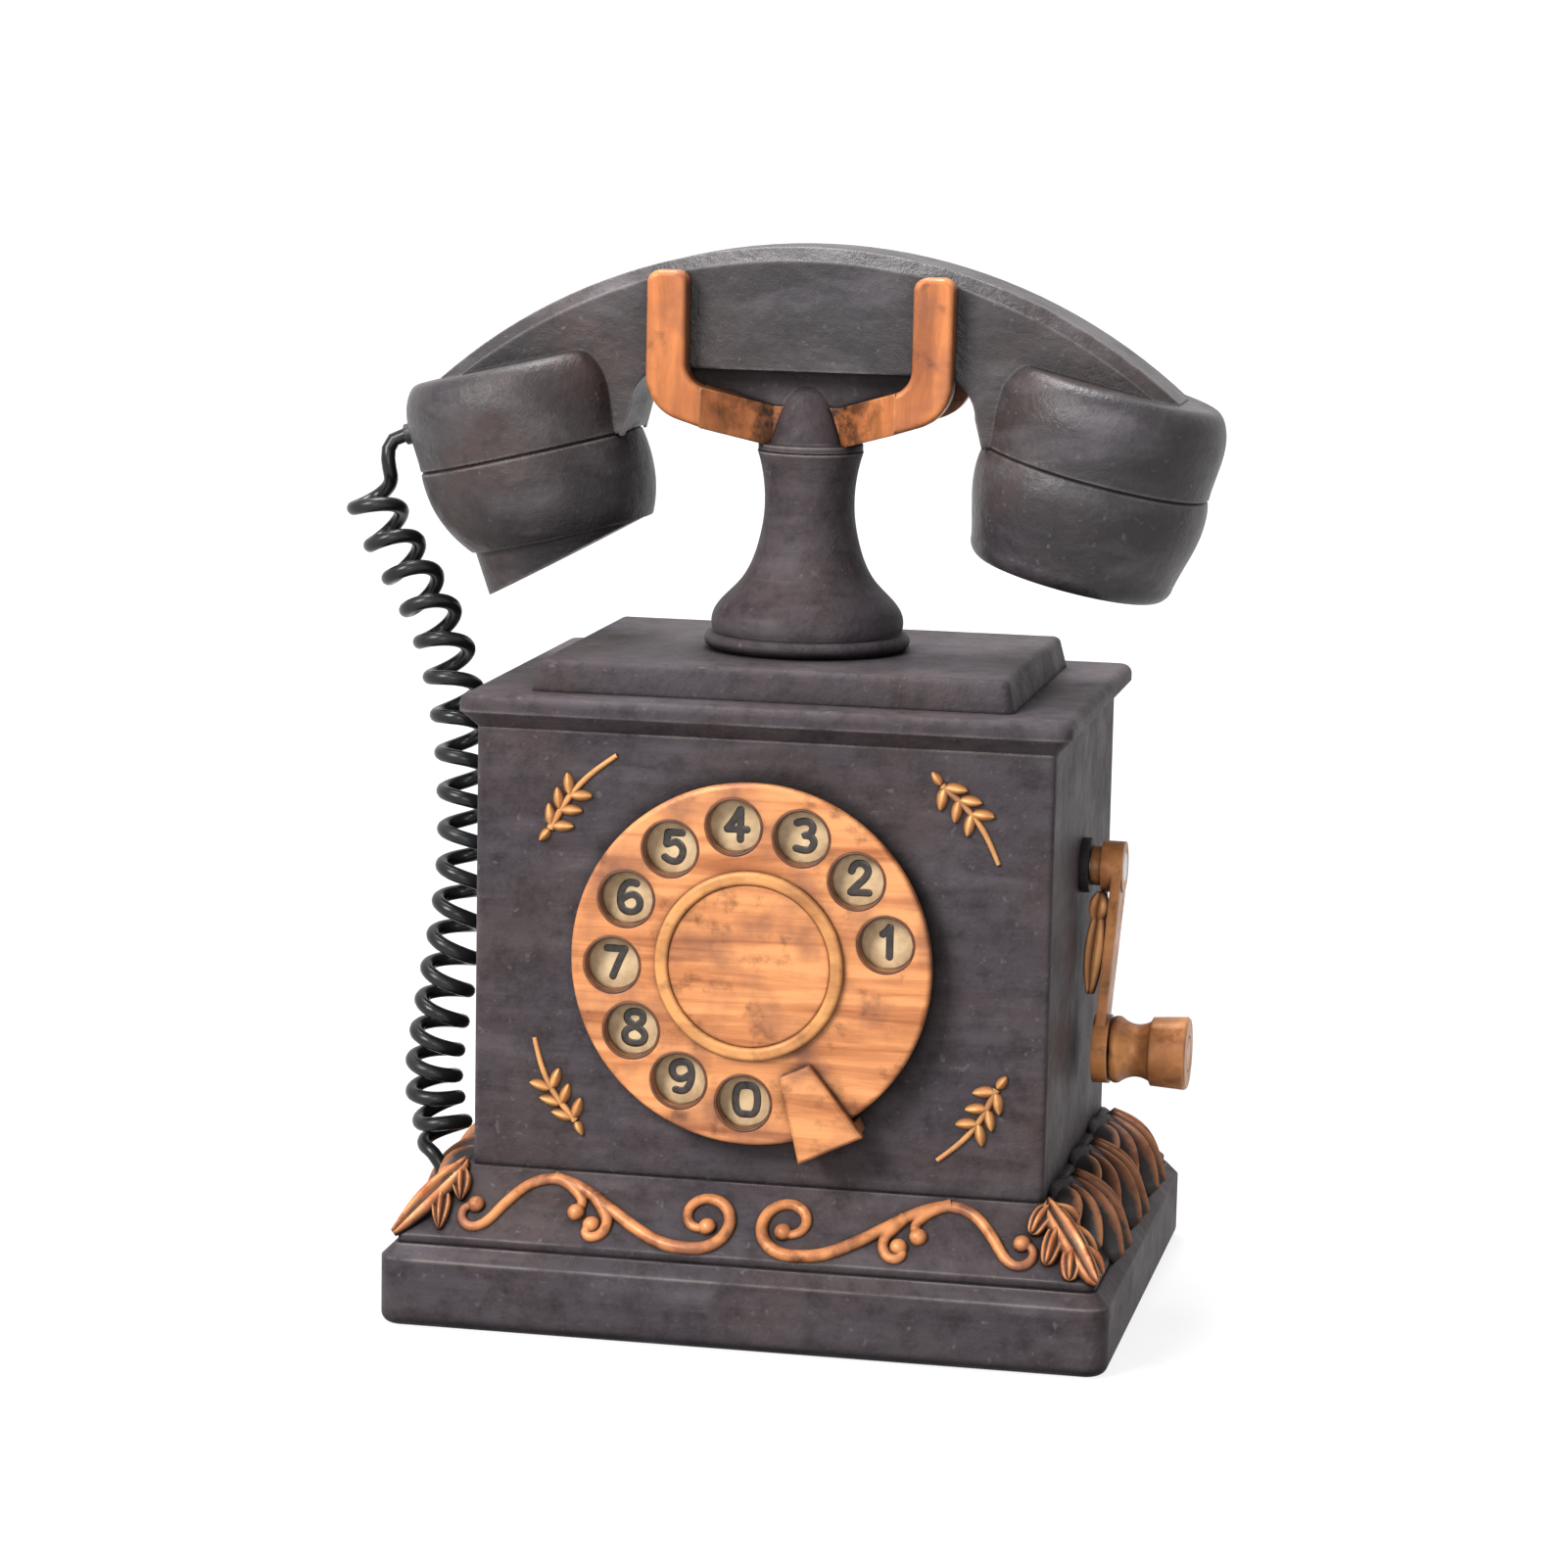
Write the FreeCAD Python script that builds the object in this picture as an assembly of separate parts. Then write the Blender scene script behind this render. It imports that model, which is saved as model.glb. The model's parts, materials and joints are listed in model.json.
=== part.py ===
import FreeCAD, Part
import math
import os

# A table telephone with a finger dial and a hand crank, its handset across a raised cradle.
# Millimetres. +Z is up, -Y is the front with the dial, +X is the side with the crank.
# The origin is the middle of the plinth's underside.

# Clearances
slip = 0.1
running = 0.05
rest_gap = 0.3

# Plinth, the slab that stands on the table
plinth_width = 196.0
plinth_depth = 156.0
plinth_height = 22.0
plinth_wall = 5.0
plinth_corner = 6.0
plinth_cavity_corner = 2.0
plinth_top_chamfer = 3.5
plinth_foot_round = 3.0
deck_thickness = 4.0
bottom_plate_thickness = 1.5
bottom_plate_recess = 1.2
foot_post_radius = 5.0
foot_screw_radius = 1.5
foot_screw_length = 9.0
foot_screw_head_radius = 3.0
foot_screw_head_height = 0.9
inlet_radius = 3.5
inlet_wall = 1.8
inlet_flange = 1.6
inlet_z = 10.0

# Coving, the sloped band between plinth and case
coving_width = 188.0
coving_depth = 146.0
coving_lip = 2.2
coving_height = 18.5
coving_top_margin = 1.5
coving_corner = 2.5

# Case
case_width = 155.0
case_depth = 112.0
case_height = 119.0
case_wall = 5.0
case_corner = 1.5

# Cap plate and cap step
cap_overhang = 4.5
cap_edge = 4.5
cap_edge_round = 2.6
cap_corner = 4.0
cap_tongue_depth = 3.0
cap_tongue_wall = 3.0
step_width = 130.0
step_depth = 97.0
step_height = 8.5
step_draft = 2.0
step_round = 2.0
step_corner = 2.5

# Pillar: (radius, height) points of the flare, from the foot bead up to the neck
pillar_foot_radius = 28.0
pillar_bead_height = 4.5
pillar_flare = [(25.9, 9.0), (18.6, 18.0), (13.9, 28.0)]
pillar_neck_radius = 12.3
pillar_neck_height = 37.0
pillar_shoulder_radius = 14.4
pillar_height = 53.7
pillar_spigot_radius = 8.0
pillar_nut_radius = 13.0
pillar_nut_height = 6.0

# Cradle: boss, fork with two yokes, and the rod that works the hook switch
boss_radius = 14.2
boss_skirt = 1.6
boss_flank = [(12.4, 2.2), (10.3, 9.0), (8.1, 15.0), (5.0, 19.4)]
boss_below_seat = 0.5
seat_height = 21.7
fork_hub_x = 9.0
fork_hub_y = 7.0
fork_bar_base = 1.0
fork_bar_height = 11.0
fork_bar_rise = 5.5
fork_arm_width = 8.0
fork_arm_end = 26.5
yoke_wall = 6.0
yoke_gap = 0.5
prong_inner_x = 30.7
prong_outer_x = 41.6
prong_height = 26.5
prong_elbow = 9.0
prong_throat = 5.0
prong_tip_round = 3.5
prong_face_round = 1.5
saddle_half_x = 34.0
saddle_half_y = 6.5
saddle_drop = 11.0
hook_rod_radius = 4.0
hook_rod_seat = 6.0

# Hook switch under the cap
bracket_plate = 2.0
bracket_half_x = 8.0
bracket_half_y = 16.0
bracket_drop = 31.5
hook_collar_radius = 8.0
hook_collar_height = 2.5
hook_spring_radius = 6.2
hook_spring_wire = 1.2
hook_spring_height = 12.0
hook_spring_turns = 4
hook_rod_tail = 10.0
contact_leaf = 0.6
contact_leaf_width = 6.0
contact_pitch = 2.6
contact_count = 3
contact_block_height = 10.0

# Handset: arched grip with two cup housings, and the two screwed caps
grip_depth = 28.0
grip_crown = 33.0
grip_radius = 152.0
grip_reach = 101.0
grip_edge = 3.5
grip_flat = 36.0
web_reach = 47.0
web_drop = 19.0
cup_reach = 78.0
cup_drop = 25.0
cup_tilt = 13.5
cup_radius = 31.0
cup_bulge = 0.6
cup_bulge_share = 0.4
cup_height = 24.0
cup_rim_radius = 29.0
cup_edge_round = 3.0
cup_cavity_radius = 27.6
cup_cavity_depth = 15.0
cap_spigot_height = 6.0
cap_spigot_wall = 1.6
seam_groove = 0.6
capsule_rim = 2.5
mouth_taper_radius = 25.5
mouth_shift = 3.5
mouth_bulge_shift = 1.0
mouth_bulge_share = 0.4
mouth_height = 24.0
mouth_rim_radius = 24.0
mouth_rim_shift = 3.0
mouth_rim_end_radius = 18.0
mouth_rim_end_shift = -1.0
mouth_rim_height = 22.0
mouth_rim_tilt = 15.0
mouth_floor = 4.0
ear_mid_radius = 31.4
ear_end_radius = 28.0
ear_height = 30.0
ear_mid_share = 0.35
ear_edge_round = 5.0
ear_dome = 2.0
ear_floor = 4.0
sound_hole_radius = 1.4
sound_hole_count = 6
sound_ring_count = 2
sound_ring_pitch = 6.5

# Handset cord: a curled wire that follows a hand-chosen route of points
cord_diameter = 4.0
cord_curl_radius = 6.2
cord_pitch_top = 9.8
cord_pitch_middle = 10.4
cord_pitch_bottom = 6.0
cord_tail = 3.0
cord_ramp = 10.0
cord_end_turn = 0.75
cord_steps = 4000
cord_exit_height = 11.0
cord_route = [
    (-124.3, -2.5, 222.0),
    (-121.5, -6.0, 212.5),
    (-114.5, -8.5, 201.5),
    (-107.5, -12.0, 192.0),
    (-101.5, -15.5, 184.0),
    (-96.8, -18.5, 175.0),
    (-93.2, -21.5, 164.0),
    (-90.2, -24.5, 152.0),
    (-88.2, -27.5, 138.0),
    (-87.2, -30.0, 122.0),
    (-88.3, -32.0, 104.0),
    (-91.8, -33.0, 84.0),
    (-95.2, -33.5, 62.0),
    (-94.6, -33.8, 52.0),
]
gland_x = -90.8
gland_y = -40.0
gland_top_z = 32.0
gland_radius = 3.0
gland_bore = 1.5
handset_gland_radius = 2.9
handset_gland_length = 3.0
cord_last_rise = 10.0

# Dial on the front
dial_x = -0.8
dial_height = 60.5
dial_flange_radius = 45.0
dial_flange = 2.5
dial_boss_radius = 30.0
dial_boss_depth = 11.0
number_plate_radius = 46.0
number_plate = 1.2
number_spot_radius = 6.9
number_spot = 0.4
wheel_gap = 0.4
wheel_radius = 48.3
wheel_thickness = 4.0
wheel_edge_round = 1.2
wheel_hub_radius = 9.0
finger_hole_radius = 7.2
finger_circle = 37.0
finger_count = 10
finger_first_angle = 12.0
finger_pitch = 28.5
finger_chamfer = 0.7
card_radius = 21.6
card_thickness = 0.8
card_ring_width = 3.6
card_ring_height = 1.8
card_ring_round = 1.1
stop_angle = -64.0
stop_inner_radius = 30.0
stop_outer_radius = 53.0
stop_inner_width = 8.6
stop_outer_width = 19.0
stop_thickness = 2.8
stop_foot = 3.6
stop_edge = 0.6
dial_shaft_radius = 4.0

# Dial movement behind the front wall, depths measured back from the boss
dial_gear_teeth = 60
governor_teeth = 12
dial_module = 0.6
dial_gear_width = 3.0
dial_gear_start = 1.0
cam_radius = 11.0
cam_lobe = 0.9
cam_width = 2.5
cam_gap = 1.0
barrel_radius = 13.0
barrel_start = 10.0
barrel_width = 9.5
back_plate_thickness = 2.0
back_plate_post_circle = 26.0
back_plate_post_radius = 3.0
back_plate_post_angles = (45.0, 135.0, 315.0)
governor_angle = 225.0
governor_spindle_radius = 1.5
governor_pivot = 4.0
governor_weight_radius = 2.2
governor_radius = 5.6
governor_width = 5.0
governor_cup_radius = 6.4
governor_cup_wall = 1.4
governor_cup_depth = 9.0
pulse_block_start = 4.9
pulse_block_width = 7.0
pulse_block_height = 10.0
pulse_block_gap = 2.0

# Gears
pressure_angle = 20.0
addendum = 0.8
dedendum = 1.15
backlash = 0.2

# Crank on the right wall
crank_height = 80.5
crank_shaft_radius = 4.0
bush_radius = 6.0
bush_flange_radius = 7.5
bush_flange = 2.5
crank_collar_radius = 5.4
crank_collar = 2.9
crank_throw = 50.5
crank_arm_thickness = 2.8
crank_arm_lean = 4.0
crank_hub_radius = 7.0
crank_hub_width = 6.0
crank_eye_radius = 9.4
crank_arm_end = 5.6
crank_eye_width = 4.4
crank_pin_radius = 3.0
crank_pin_head_radius = 4.6
crank_pin_head = 1.6
knob_flange_radius = 9.2
knob_flange = 3.0
knob_waist_radius = 7.2
knob_waist = 7.5
knob_drum_radius = 10.0
knob_drum = 10.5
knob_groove = 0.6

# Magneto
crank_gear_teeth = 60
armature_teeth = 12
magneto_module = 0.9
magneto_gear_width = 5.0
magneto_gear_margin = 5.5
magneto_plate = 3.0
magneto_plate_gap = 2.0
magneto_length_share = 0.245
magneto_clearance = 2.5
magneto_foot = 3.0
magneto_plate_top = 9.0
magnet_count = 3
magnet_width = 11.0
magnet_thickness = 5.0
pole_wall = 4.5
armature_gap = 0.5
armature_shaft_radius = 3.0
armature_end_gap = 3.0
pole_height = 11.0

# Ringer, condenser and terminal block on the deck
ringer_clearance = 3.0
ringer_plate = 2.5
ringer_plate_half_x = 28.0
ringer_plate_half_y = 12.0
gong_share = 0.11
gong_height = 11.0
gong_wall = 1.2
gong_shoulder_inset = 3.1
gong_shoulder_height = 8.2
gong_crown_inset = 10.2
gong_apart = 5.5
gong_z = 66.0
gong_post_radius = 2.5
gong_screw_radius = 1.5
gong_nut_radius = 4.0
gong_nut = 2.5
coil_radius = 8.0
coil_height = 24.0
coil_spacing = 11.0
coil_flange = 1.5
coil_core_radius = 3.0
hinge_height = 4.0
clapper_rod_radius = 1.0
clapper_ball_radius = 4.0
clapper_bar_half = 14.0
clapper_bar_width = 6.0
clapper_bar = 2.0
clapper_pin_radius = 1.2
clapper_cheek = 2.0
condenser_size = (28.0, 24.0, 34.0)
condenser_clearance = (10.5, 5.0)
terminal_size = (32.0, 14.0, 9.0)
terminal_x = -6.0
terminal_clearance = 4.0
terminal_count = 4
terminal_screw_radius = 2.2
terminal_screw_height = 2.0

# Ornaments of the coving, in (along X, up the slope) from the slope's lower edge, drawn for a half span
scroll_half_span = 86.5
scroll_half_width = 1.8
tendril_half_width = 1.5
scroll_height = 2.2
scroll_bud = 2.4
volute_centre = (-11.8, 11.3)
volute_outer = 9.9
volute_inner = 3.2
volute_from = -100.0
volute_sweep = 400.0
volute_steps = 12
volute_tightening = 1.5
scroll_wave = [(-22.0, 2.4), (-31.5, 7.8), (-39.5, 13.6), (-47.0, 18.4), (-53.7, 20.2), (-60.5, 18.0),
               (-66.0, 11.4), (-69.6, 5.4), (-73.6, 3.0), (-77.2, 5.4), (-77.0, 9.6), (-73.8, 10.2)]
tendril_upper = [(-51.0, 19.4), (-46.6, 16.2), (-44.4, 12.6), (-46.2, 10.0)]
tendril_lower = [(-40.2, 14.2), (-37.0, 8.4), (-38.0, 4.0), (-41.4, 2.6), (-43.2, 5.0), (-41.4, 6.6)]
corner_leaf_width = 8.0
corner_leaf_height = 4.5
corner_leaf_reach = 1.5
corner_lobe_width = 4.8
corner_lobe_height = 3.2
corner_lobes = [(0.12, 0.41, 34.0), (0.42, 0.44, 34.0)]
side_leaf_count = 6
side_leaf_width = 14.0
side_leaf_height = 5.5
side_leaf_slant = 9.0
side_leaf_margin = 11.25
side_leaf_rib_width = 5.0
side_leaf_rib_height = 7.4
leaf_bed = 2.0

# Leaf form: (share of the length, share of the width, share of the height)
leaf_sections = [(0.0, 0.35, 0.55), (0.35, 1.0, 1.0), (0.7, 0.7, 0.8), (1.0, 0.08, 0.3)]

# Sprigs on the case front: (leafy end, bare end) in (X, height above the coving)
sprig_ends = [
    ((-57.1, 92.6), (-39.2, 113.2)),
    ((47.8, 109.7), (63.3, 89.6)),
    ((-49.2, 13.7), (-60.8, 35.8)),
    ((64.4, 29.9), (49.0, 9.6)),
]
sprig_stem_radius = 0.9
sprig_leaf_length = 5.5
sprig_leaf_width = 3.0
sprig_leaf_height = 1.1
sprig_leaf_pairs = 3
sprig_leaf_pitch = 4.8
sprig_first_pair = 0.9
sprig_leaf_sweep = 1.0
sprig_tip_length = 3.3
sprig_tip_width = 2.1
sprig_bow = 2.2

# Levels and walls that follow from the sizes above
case_z = plinth_height + coving_height
cap_z = case_z + case_height
step_z = cap_z + cap_overhang + cap_edge
pillar_z = step_z + step_height
pillar_top_z = pillar_z + pillar_height
cradle_z = pillar_top_z + rest_gap
seat_z = cradle_z + seat_height
grip_z = seat_z + rest_gap
seam_z = grip_z - cup_drop
inner_x = case_width / 2 - case_wall
inner_y = case_depth / 2 - case_wall
front_y = -case_depth / 2
wall_x = case_width / 2
dial_z = case_z + dial_height
boss_back_y = front_y + dial_boss_depth
wheel_back = dial_flange + number_plate + number_spot + wheel_gap
wheel_face = wheel_back + wheel_thickness
crank_z = case_z + crank_height
shelf_z = cap_z - bracket_drop
collar_z = shelf_z + hook_spring_height
gear_x = inner_x - magneto_gear_margin - magneto_gear_width
magneto_right_x = gear_x - magneto_plate_gap
magneto_length = case_width * magneto_length_share
magneto_left_x = magneto_right_x - 2 * magneto_plate - magneto_length
movement_depth = barrel_start + barrel_width + back_plate_thickness
magneto_half_depth = -boss_back_y - movement_depth - magneto_clearance
armature_radius = magneto_half_depth - magnet_thickness - pole_wall
armature_z = crank_z - magneto_module * (crank_gear_teeth + armature_teeth) / 2
gong_radius = case_width * gong_share
gong_spacing = gong_radius + gong_apart
gong_shoulder_radius = gong_radius - gong_shoulder_inset
gong_crown_radius = gong_radius - gong_crown_inset
ringer_x = ringer_clearance + gong_radius + gong_spacing - inner_x
ringer_y = inner_y - ringer_clearance - gong_radius
ringer_z = plinth_height + ringer_plate
band_half_x = (case_width / 2 + coving_top_margin + coving_width / 2) / 2
band_half_y = (case_depth / 2 + coving_top_margin + coving_depth / 2) / 2
hinge_z = ringer_z + coil_height + hinge_height

V = FreeCAD.Vector
ACROSS = V(1, 0, 0)
BACK = V(0, 1, 0)
UP = V(0, 0, 1)


def span_box(x, y, z):
    """Box between three (low, high) pairs."""
    return Part.makeBox(x[1] - x[0], y[1] - y[0], z[1] - z[0], V(x[0], y[0], z[0]))


def rod(radius, start, end):
    """Round bar between two points."""
    run = end - start
    return Part.makeCylinder(radius, run.Length, start, run)


def ring(outer, inner, start, end):
    """Tube between two points."""
    return rod(outer, start, end).cut(rod(inner, start, end))


def fused(shapes):
    """One solid from shapes that touch or overlap."""
    return shapes[0].multiFuse(shapes[1:]).removeSplitter()


def rounded_rectangle(width, depth, corner, z):
    """Closed wire at height z, centred on the Z axis, with round corners."""
    edges = []
    centres = [(1, 1), (-1, 1), (-1, -1), (1, -1)]
    for index, (side_x, side_y) in enumerate(centres):
        centre = V(side_x * (width / 2 - corner), side_y * (depth / 2 - corner), z)
        edges.append(Part.makeCircle(corner, centre, UP, 90 * index, 90 * index + 90))
    runs = []
    for arc, following in zip(edges, edges[1:] + edges[:1]):
        runs.append(arc)
        runs.append(Part.makeLine(arc.valueAt(arc.LastParameter),
                                  following.valueAt(following.FirstParameter)))
    return Part.Wire(runs)


def prism(width, depth, corner, low, high):
    """Upright block with round corners, centred on the Z axis."""
    return Part.Face(rounded_rectangle(width, depth, corner, low)).extrude(V(0, 0, high - low))


def frustum(lower, upper, low, high):
    """Block that runs straight from one rounded rectangle to another."""
    wires = [rounded_rectangle(*lower, low), rounded_rectangle(*upper, high)]
    return Part.makeLoft(wires, True, True)


def level_edges(shape, z):
    """The edges of a shape that lie wholly at height z."""
    found = []
    for edge in shape.Edges:
        box = edge.BoundBox
        if abs(box.ZMin - z) < 1e-4 and abs(box.ZMax - z) < 1e-4:
            found.append(edge)
    return found


def turned(edges):
    """Solid turned about the Z axis from the edges of a closed outline in the XZ plane."""
    return Part.Face(Part.Wire(edges)).revolve(V(0, 0, 0), UP, 360)


def outline(points):
    """Straight edges through (radius, height) points."""
    spots = [V(radius, 0, height) for radius, height in points]
    return [Part.makeLine(start, end) for start, end in zip(spots, spots[1:])]


def flowing(points, first=None, last=None):
    """One smooth edge through (radius, height) points, with given end directions."""
    curve = Part.BSplineCurve()
    spots = [V(radius, 0, height) for radius, height in points]
    if first:
        curve.interpolate(spots, InitialTangent=V(first[0], 0, first[1]),
                          FinalTangent=V(last[0], 0, last[1]))
    else:
        curve.interpolate(spots)
    return curve.toShape()


def arc_or_line(start, corner, end):
    """Edge that leaves start towards corner and reaches end from it, both equally far."""
    inward = (corner - start).normalize()
    outward = (end - corner).normalize()
    turn = math.acos(max(-1.0, min(1.0, inward.dot(outward))))
    if turn < 1e-4:
        return Part.makeLine(start, end)
    reach = (corner - start).Length
    bend = reach / math.tan(turn / 2)
    to_chord = ((start + end) * 0.5 - corner).normalize()
    middle = corner + to_chord * (bend / math.cos(turn / 2) - bend)
    return Part.Arc(start, middle, end).toShape()


def biarc_edges(points, tangents):
    """Tangent arcs through the points, two between each pair."""
    edges = []
    for start, end, leave, arrive in zip(points, points[1:], tangents, tangents[1:]):
        chord = end - start
        spread = 2 * (1 - leave.dot(arrive))
        along = chord.dot(leave + arrive)
        square = chord.dot(chord)
        if spread < 1e-9:
            reach = square / (2 * along)
        else:
            reach = (math.sqrt(along * along + spread * square) - along) / spread
        first_corner = start + leave * reach
        second_corner = end - arrive * reach
        joint = (first_corner + second_corner) * 0.5
        edges.append(arc_or_line(start, first_corner, joint))
        edges.append(arc_or_line(joint, second_corner, end))
    return edges


def round_sweep(edges, radius):
    """Round wire along a path of tangent edges."""
    path = Part.Wire(edges)
    first = path.Edges[0]
    start = first.valueAt(first.FirstParameter)
    heading = first.tangentAt(first.FirstParameter)
    profile = Part.Wire([Part.makeCircle(radius, start, heading)])
    return path.makePipeShell([profile], True, False)


def relief_sweep(edges, half_width, height, normal):
    """Strand with a flat back and a round front along a path of tangent edges in one plane."""
    path = Part.Wire(edges)
    first = path.Edges[0]
    start = first.valueAt(first.FirstParameter)
    side = first.tangentAt(first.FirstParameter).cross(normal).normalize()
    left = start - side * half_width
    right = start + side * half_width
    profile = Part.Wire([Part.Arc(left, start + normal * height, right).toShape(),
                         Part.makeLine(right, left)])
    return path.makePipeShell([profile], True, False)


def guide_tangents(points):
    """Directions at points of an open path, each along its two neighbours, the ends like an arc's."""
    inner = [(after - before).normalize() for before, after in zip(points, points[2:])]
    first = (points[1] - points[0]).normalize()
    last = (points[-1] - points[-2]).normalize()
    start = first * (2 * first.dot(inner[0])) - inner[0]
    end = last * (2 * last.dot(inner[-1])) - inner[-1]
    return [start] + inner + [end]


def gear(teeth, module, width, bore):
    """Spur gear with its first tooth towards +X, its bore along Z and its lower face at zero."""
    pitch = teeth * module / 2
    base = pitch * math.cos(math.radians(pressure_angle))
    tip = pitch + addendum * module
    root = pitch - dedendum * module
    slope = math.radians(pressure_angle)

    def half_angle(radius):
        angle = math.acos(base / max(radius, base))
        unwound = math.tan(angle) - angle
        return math.pi / (2 * teeth) + math.tan(slope) - slope - unwound - backlash / (2 * pitch)

    spots = []
    for tooth in range(teeth):
        middle = 2 * math.pi * tooth / teeth
        for radius, side in ((root, -1), (pitch, -1), (tip, -1), (tip, 1), (pitch, 1), (root, 1)):
            angle = middle + side * half_angle(radius)
            spots.append(V(radius * math.cos(angle), radius * math.sin(angle), 0))
    blank = Part.Face(Part.makePolygon(spots + spots[:1])).extrude(V(0, 0, width))
    return blank.cut(Part.makeCylinder(bore, width, V(0, 0, 0), UP))


def placed(shape, origin, rotation):
    """Copy of a shape, turned and then moved."""
    copy = shape.copy()
    copy.Placement = FreeCAD.Placement(origin, rotation)
    return copy


def base_pieces():
    """Plinth with its bottom plate and screws, coving, and the line inlet at the rear."""
    half_x = plinth_width / 2 - plinth_wall
    half_y = plinth_depth / 2 - plinth_wall
    deck_under = plinth_height - deck_thickness
    plate_top = bottom_plate_recess + bottom_plate_thickness
    plinth = prism(plinth_width, plinth_depth, plinth_corner, 0, plinth_height)
    plinth = plinth.makeChamfer(plinth_top_chamfer, level_edges(plinth, plinth_height))
    plinth = plinth.makeFillet(plinth_foot_round, level_edges(plinth, 0))
    plinth = plinth.cut(prism(2 * half_x, 2 * half_y, plinth_cavity_corner, -1, deck_under))
    plate = prism(2 * half_x - 2 * slip, 2 * half_y - 2 * slip, plinth_cavity_corner,
                  bottom_plate_recess, plate_top)
    posts = []
    screws = []
    for side_x in (-1, 1):
        for side_y in (-1, 1):
            x = side_x * (half_x - foot_post_radius)
            y = side_y * (half_y - foot_post_radius)
            posts.append(rod(foot_post_radius, V(x, y, plate_top), V(x, y, deck_under)))
            shank = rod(foot_screw_radius, V(x, y, bottom_plate_recess),
                        V(x, y, plate_top + foot_screw_length))
            head_low = bottom_plate_recess - foot_screw_head_height
            head = rod(foot_screw_head_radius, V(x, y, head_low), V(x, y, bottom_plate_recess))
            screws.append(fused([shank, head]))
    plinth = fused([plinth] + posts)
    inlet_outer = inlet_radius + inlet_wall
    inlet_inside = V(0, half_y, inlet_z)
    inlet_end = V(0, plinth_depth / 2, inlet_z)
    grommet = fused([rod(inlet_outer, inlet_inside, inlet_end),
                     rod(inlet_outer + inlet_flange, inlet_end - BACK * inlet_flange, inlet_end)])
    plinth = plinth.cut(grommet)
    grommet = grommet.cut(rod(inlet_radius, inlet_inside - BACK, inlet_end + BACK))
    plinth = plinth.cut(rod(gland_bore, V(gland_x, gland_y, 0), V(gland_x, gland_y, plinth_height + 1)))
    for screw in screws:
        plinth = plinth.cut(screw)
        plate = plate.cut(screw)
    return {"base_plinth": plinth, "base_coving": coving(), "bottom_plate": plate,
            "bottom_screws": Part.makeCompound(screws), "line_grommet": grommet,
            "cord_gland": cord_gland()}


def coving_block():
    """The coving's outer form, before its inside is opened."""
    lip_z = plinth_height + coving_lip
    top = (case_width + 2 * coving_top_margin, case_depth + 2 * coving_top_margin, coving_corner)
    foot = (coving_width, coving_depth, coving_corner)
    return fused([prism(*foot, plinth_height, lip_z), frustum(foot, top, lip_z, case_z)])


def coving():
    """Sloped band, open inside like the case, with a bore for the cord gland."""
    inside = prism(2 * inner_x, 2 * inner_y, case_corner, plinth_height - 1, case_z + 1)
    bore = rod(gland_radius, V(gland_x, gland_y, plinth_height - 1), V(gland_x, gland_y, case_z))
    return coving_block().cut(inside).cut(bore)


def cord_gland():
    """Short upright sleeve set in the coving, its top face where the cord ends."""
    return ring(gland_radius, gland_bore, V(gland_x, gland_y, plinth_height),
                V(gland_x, gland_y, gland_top_z))


def case_pieces():
    """Case, cap plate, cap step, pillar and the nut that clamps the pillar."""
    case = prism(case_width, case_depth, case_corner, case_z, cap_z)
    case = case.cut(prism(2 * inner_x, 2 * inner_y, case_corner, case_z - 1, cap_z + 1))
    dial_centre = V(dial_x, front_y, dial_z)
    case = case.cut(rod(dial_boss_radius + slip, dial_centre - BACK,
                        dial_centre + BACK * (case_wall + 1)))
    crank_centre = V(inner_x, 0, crank_z)
    case = case.cut(rod(bush_radius, crank_centre - ACROSS, crank_centre + ACROSS * (case_wall + 1)))

    bevel_z = cap_z + cap_overhang
    wide = (case_width + 2 * cap_overhang, case_depth + 2 * cap_overhang, cap_corner)
    cap = fused([frustum((case_width, case_depth, case_corner), wide, cap_z, bevel_z),
                 prism(*wide, bevel_z, step_z)])
    cap = cap.makeFillet(cap_edge_round, level_edges(cap, step_z))
    tongue_x = 2 * (inner_x - slip)
    tongue_y = 2 * (inner_y - slip)
    tongue = prism(tongue_x, tongue_y, case_corner, cap_z - cap_tongue_depth, cap_z)
    hollow = prism(tongue_x - 2 * cap_tongue_wall, tongue_y - 2 * cap_tongue_wall, case_corner,
                   cap_z - cap_tongue_depth - 1, cap_z)
    cap = fused([cap, tongue.cut(hollow)])
    spigot_hole = rod(pillar_spigot_radius + slip, V(0, 0, cap_z - 1), V(0, 0, pillar_z + 1))

    narrow = (step_width - 2 * step_draft, step_depth - 2 * step_draft, step_corner)
    step = frustum((step_width, step_depth, step_corner), narrow, step_z, pillar_z)
    step = step.makeFillet(step_round, level_edges(step, pillar_z))
    return {"case": case, "cap_plate": cap.cut(spigot_hole), "cap_step": step.cut(spigot_hole),
            "pillar": pillar(), "pillar_nut": pillar_nut()}


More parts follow.
